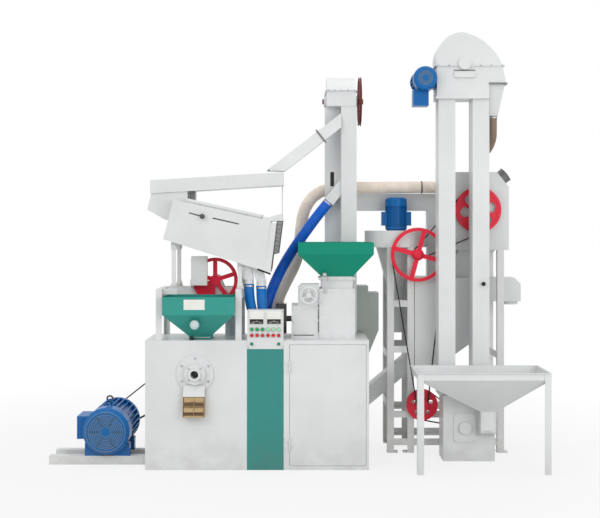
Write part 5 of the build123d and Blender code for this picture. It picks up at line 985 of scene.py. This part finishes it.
def panel_meters():
    """Dark scale windows with light marks and a needle, in the lower half of each pale meter."""
    for count, middle in enumerate(METER_MIDDLES, 1):
        low = (middle - WINDOW_HALF, METER_FACE - WINDOW_PROUD, WINDOW_Z[0])
        high = (middle + WINDOW_HALF, METER_FACE, WINDOW_Z[1])
        boxes(f"meter_window_{count}", [(low, high)], BLACK_PLASTIC)
        scale = bmesh.new()
        pivot = Vector((middle, METER_FACE - SCALE_PROUD, SCALE_PIVOT))
        for step in range(MARK_COUNT):
            length = MARK_SHORT if step % MARKS_PER_LONG else MARK_LONG
            angle = MARK_FIRST + MARK_PITCH * step
            scale_bar(scale, pivot, angle, MARK_HALF, (MARK_FOOT, MARK_FOOT + length))
        scale_bar(scale, pivot, NEEDLE_TURN, NEEDLE_HALF, NEEDLE_SPAN)
        add_piece(f"meter_scale_{count}", scale, DIAL_CARD)


def button_rings():
    """Bright bezels round the push buttons."""
    for name, height in BUTTON_ROWS.items():
        for count in range(BUTTON_COUNT):
            place = (BUTTON_FIRST + BUTTON_PITCH * count, BUTTON_FACE, height)
            turned(f"{name}_bezel_{count + 1}", lathe(BEZEL_PROFILE, ring=True), place, STEEL)


def motor_fittings():
    """Wire guards over the air inlets of two motors, and the lifting eye of the main one."""
    # The last ring, lighter than the motor's blue, is a painted highlight on the cover's edge
    rings = [*spread(*MOTOR_RINGS), MOTOR_RIM_HIGHLIGHT]
    wire_rings("motor_grille", MOTOR_FACE, rings, MOTOR_WIRE, GRILLE_PAINT)
    wire_rings("head_motor_grille", HEAD_MOTOR_FACE, spread(*HEAD_MOTOR_RINGS), HEAD_MOTOR_WIRE, GRILLE_PAINT)
    wire_rings("motor_lifting_eye", EYE_PLACE, [EYE_RADIUS], EYE_WIRE, IRON)


def head_fittings():
    """Bearing shelf with a strip of painted shadow above it, foot flange, and outlet flange on the head of
    the front elevator, its dark zinc painted shade.
    """
    rounded_box("head_bearing_shelf", *BEARING_SHELF, SHELF_EDGE, SHEET_WHITE)
    # Zinc strip over the shelf: painted shadow under the bearing
    rounded_box("head_shelf_painted_shadow", *SHELF_SHADOW, SHADOW_EDGE, ZINC)
    rounded_box("head_foot_flange", *FOOT_FLANGE, SHELF_EDGE, SHEET_WHITE)
    # Dark zinc of the outlet flange: painted shade beneath it
    boxes("head_outlet_flange", OUTLET_FLANGE, ZINC)


def sheet_details():
    """Sight glass, blank plate, knobs and pilot lamps."""
    rounded_box("elevator_sight_glass", *SIGHT_GLASS, PLATE_EDGE, BLACK_PLASTIC)
    rounded_box("hopper_plate", *HOPPER_PLATE, PLATE_EDGE, DIAL_CARD)
    knob("mill_gate_knob", *MILL_GATE_KNOB, BLACK_PLASTIC, "mill_gate_body")
    knob("husker_lever_knob", *HUSKER_LEVER_KNOB, STEEL, "husker_gate_body")
    knob("leg_cover_knob", *LEG_COVER_KNOB, BLACK_PLASTIC)
    for count, x in enumerate(LAMP_X, 1):
        knob(f"pilot_lamp_{count}", (x, LAMP_Y, LAMP_Z), LAMP_RADIUS, LAMP_PLASTIC)


def joint_lines():
    """Dark joints of the husker's gear housing, and the flange where the paddy chute leaves the elevator."""
    boxes("gearbox_joints", GEARBOX_JOINTS, ZINC)
    flange = bar_outline(*PADDY_FLANGE, PADDY_FLANGE_HALF)
    plates("chute_flange", [(flange, PADDY_FLANGE_BACK, PADDY_FLANGE_DEPTH)], ZINC)


def guard_bars():
    """Rails, tail and slats of the guard at the deck's end."""
    top_left, top_right, low_right, low_left = (Vector(corner) for corner in END_GUARD)
    bars = []
    for first, second in ((top_left, low_left), (top_right, low_right)):
        bars.append((bar_outline(first, second, GUARD_RAIL), GUARD_FACE, GUARD_SHEET))
    bars.append((bar_outline(*GUARD_TAIL, TAIL_HALF), GUARD_FACE, GUARD_SHEET))
    for step in range(GUARD_SLATS + 1):
        share = step / GUARD_SLATS
        first = top_left.lerp(low_left, share)
        second = top_right.lerp(low_right, share)
        bars.append((bar_outline(first, second, SLAT_HALF), SLAT_FACE, SLAT_SHEET))
    return bars


def deck_fittings():
    """Adjusting slots, pointer knob, end guard, rubber lip and hose clamps of the separator's deck."""
    slots = [(bar_outline(*ends, SLOT_HALF), DECK_FACE, SLOT_SHEET) for ends in DECK_SLOTS]
    plates("deck_slots", slots, RUBBER, DECK_BODY)
    knob("deck_pointer_knob", *POINTER_KNOB, IRON, DECK_BODY)
    plates("deck_end_guard", guard_bars(), IRON, DECK_BODY)
    plates("deck_outlet_lip", [(bar_outline(*LIP_ENDS, LIP_HALF), DECK_FACE, LIP_SHEET)], RUBBER, DECK_BODY)
    radii = (OUTLET_RADIUS, OUTLET_RADIUS + CLAMP_RISE)
    for count, (x, z, _) in enumerate(OUTLET_TOPS, 1):
        clamp(f"outlet_clamp_{count}", (x, OUTLET_Y, z), (0.0, 0.0, -1.0), OUTLET_CLAMP_SPAN, radii,
              body=DECK_BODY, sides=OUTLET_CLAMP_SIDES)


def lid_band(x, rise):
    """Outline of a band along the deck's sloping lid, between two rises above it."""
    (left, left_z), (right, right_z) = LID_ENDS
    fall = (right_z - left_z) / (right - left)
    heights = [left_z + fall * (at - left) for at in x]
    return [(x[0], heights[0] + rise[0]), (x[1], heights[1] + rise[0]),
            (x[1], heights[1] + rise[1]), (x[0], heights[0] + rise[1])]


def deck_lid():
    """Raised rim on the deck's lid, a strip of painted shadow under it, and the dark stay that carries the
    trough, partly its grey iron and partly painted shade.
    """
    (left, _), (right, _) = LID_ENDS
    front, back = LID_Y
    rise = (LID_SHEET, RIM_TOP)
    # Steel-grey strip at the foot of the rim: painted shadow under the rim
    shadow_strip = lid_band((left, right), (0.0, LID_SHEET))
    plates("deck_lid_painted_shadow", [(shadow_strip, front, COVER_SHEET)], STEEL, DECK_BODY)
    long_wall = lid_band((left, right), rise)
    walls = [(long_wall, front + RIM_WALL, RIM_WALL), (long_wall, back, RIM_WALL)]
    for x in ((left, left + RIM_WALL), (right - RIM_WALL, right)):
        walls.append((lid_band(x, rise), back - RIM_WALL, back - front - 2 * RIM_WALL))
    plates("deck_lid_rim", walls, SHEET_WHITE, DECK_BODY)
    # Zinc plate over the white post: partly the post's grey iron, partly painted shade
    stay = lid_band(STAY_X, rise)[:2] + list(zip(reversed(STAY_X), reversed(STAY_TOP)))
    plates("trough_stay", [(stay, STAY_FACE, COVER_SHEET)], ZINC, DECK_BODY)


def turned_fittings():
    """Dust collar of the sieve, sight disc of the mill hopper and hub cap of the destoner's wheel."""
    turned("dust_collar", lathe(DUST_COLLAR, DUST_SIDES, ring=True), DUST_PORT, ZINC, axis=DUST_AXIS)
    turned("hopper_sight_disc", lathe(SIGHT_DISC, SIGHT_SIDES), SIGHT_PLACE, SIGHT_PLASTIC)
    turned("destoner_hub_cap", lathe(HUB_CAP, HUB_SIDES), HUB_PLACE, RED_PAINT, "destoner_pulley_body")


def louvre_place(count, share):
    """Depth and height on a louvre's sloping face, at a share of its height from its top."""
    reach = CHUTE_PROUD * (LOUVRE_FIRST + (1 - LOUVRE_FIRST) * count / (LOUVRE_COUNT - 1))
    depth = CHUTE_FRONT - reach * (LOUVRE_BACK + (1 - LOUVRE_BACK) * share)
    return depth, LOUVRE_TOP - LOUVRE_STEP * (count + share)


def chute_cover():
    """White cover sheet on the sloping top of the mill's outlet, and dark sheets among its louvres, painted
    as the shade under the steps.
    """
    cover = bmesh.new()
    thin_sheet(cover, CHUTE_X, *CHUTE_COVER)
    add_piece("chute_cover", cover, SHEET_WHITE)
    # Dark sheets on the louvres: painted shade under the steps
    shade_sheets = bmesh.new()
    for count, shares in SHADE_SHARES.items():
        for span in SHADE_SPANS:
            thin_sheet(shade_sheets, span, *(louvre_place(count, share) for share in shares))
    add_piece("chute_painted_shade", shade_sheets, LOUVRE_SHADE)


def soft_light(name, place, target, size, power):
    """A rectangular lamp that looks at a target."""
    lamp = bpy.data.lights.new(name, "AREA")
    lamp.shape = "RECTANGLE"
    lamp.size, lamp.size_y = size
    lamp.energy = power
    holder = bpy.data.objects.new(name, lamp)
    holder.location = place
    holder.rotation_euler = (Vector(target) - Vector(place)).to_track_quat("-Z", "Y").to_euler()
    bpy.context.collection.objects.link(holder)


def seen_by_camera(tree):
    """One for rays that show the background: straight, mirrored or through glass."""
    path = tree.nodes.new("ShaderNodeLightPath")
    first = maths(tree, "MAXIMUM", path.outputs["Is Camera Ray"], path.outputs["Is Glossy Ray"])
    return maths(tree, "MAXIMUM", first, path.outputs["Is Transmission Ray"])


def floor_finish():
    """Pale matt floor that keeps the shadow and fades to plain white away from the machine."""
    material = bpy.data.materials.new("pale_floor")
    material.use_nodes = True
    tree = material.node_tree
    shader = tree.nodes["Principled BSDF"]
    shader.inputs["Base Color"].default_value = (*FLOOR_WHITE, 1.0)
    shader.inputs["Roughness"].default_value = FLOOR_ROUGHNESS
    shader.inputs["Specular IOR Level"].default_value = 0.0
    plain = tree.nodes.new("ShaderNodeEmission")
    distance = tree.nodes.new("ShaderNodeVectorMath")
    distance.operation = "LENGTH"
    tree.links.new(object_place(tree), distance.inputs[0])
    far = ramp(tree, distance.outputs["Value"], *FLOOR_FADE, start=FLOOR_SHARE)
    seen = maths(tree, "MULTIPLY", far, seen_by_camera(tree))
    blend = tree.nodes.new("ShaderNodeMixShader")
    tree.links.new(seen, blend.inputs["Fac"])
    tree.links.new(shader.outputs["BSDF"], blend.inputs[1])
    tree.links.new(plain.outputs["Emission"], blend.inputs[2])
    tree.links.new(blend.outputs["Shader"], tree.nodes["Material Output"].inputs["Surface"])
    return material


def lay_floor():
    """A wide square floor that belongs to the studio."""
    floor = bpy.data.meshes.new("floor")
    corners = [(x * FLOOR_REACH, y * FLOOR_REACH, 0) for x, y in ((-1, -1), (1, -1), (1, 1), (-1, 1))]
    floor.from_pydata(corners, [], [(0, 1, 2, 3)])
    floor.materials.append(floor_finish())
    ground = bpy.data.objects.new("floor", floor)
    bpy.context.collection.objects.link(ground)


def studio():
    """White surroundings, pale floor, soft lights and the photograph's camera."""
    scene = bpy.context.scene
    scene.view_settings.view_transform = "Standard"
    world = bpy.data.worlds.new("studio")
    scene.world = world
    world.use_nodes = True
    tree = world.node_tree
    background = tree.nodes["Background"]
    background.inputs["Color"].default_value = (1.0, 1.0, 1.0, 1.0)
    strength = ramp(tree, seen_by_camera(tree), low=0.0, high=1.0, start=WORLD_LIGHT)
    tree.links.new(strength, background.inputs["Strength"])
    lay_floor()
    for name, values in SOFT_LIGHTS.items():
        soft_light(name, **values)
    camera = bpy.data.cameras.new("camera")
    camera.lens = CAMERA_LENS
    camera.sensor_width = CAMERA_FILM
    camera.shift_y = CAMERA_SHIFT
    camera.clip_end = CAMERA_REACH
    holder = bpy.data.objects.new("camera", camera)
    holder.location = CAMERA_PLACE
    holder.rotation_euler = FRONT
    bpy.context.collection.objects.link(holder)
    scene.camera = holder


dress_nodes()
lay_hoses()
clamp_rings()
fasten_casings()
panel_meters()
button_rings()
motor_fittings()
head_fittings()
sheet_details()
joint_lines()
deck_fittings()
deck_lid()
turned_fittings()
chute_cover()
studio()
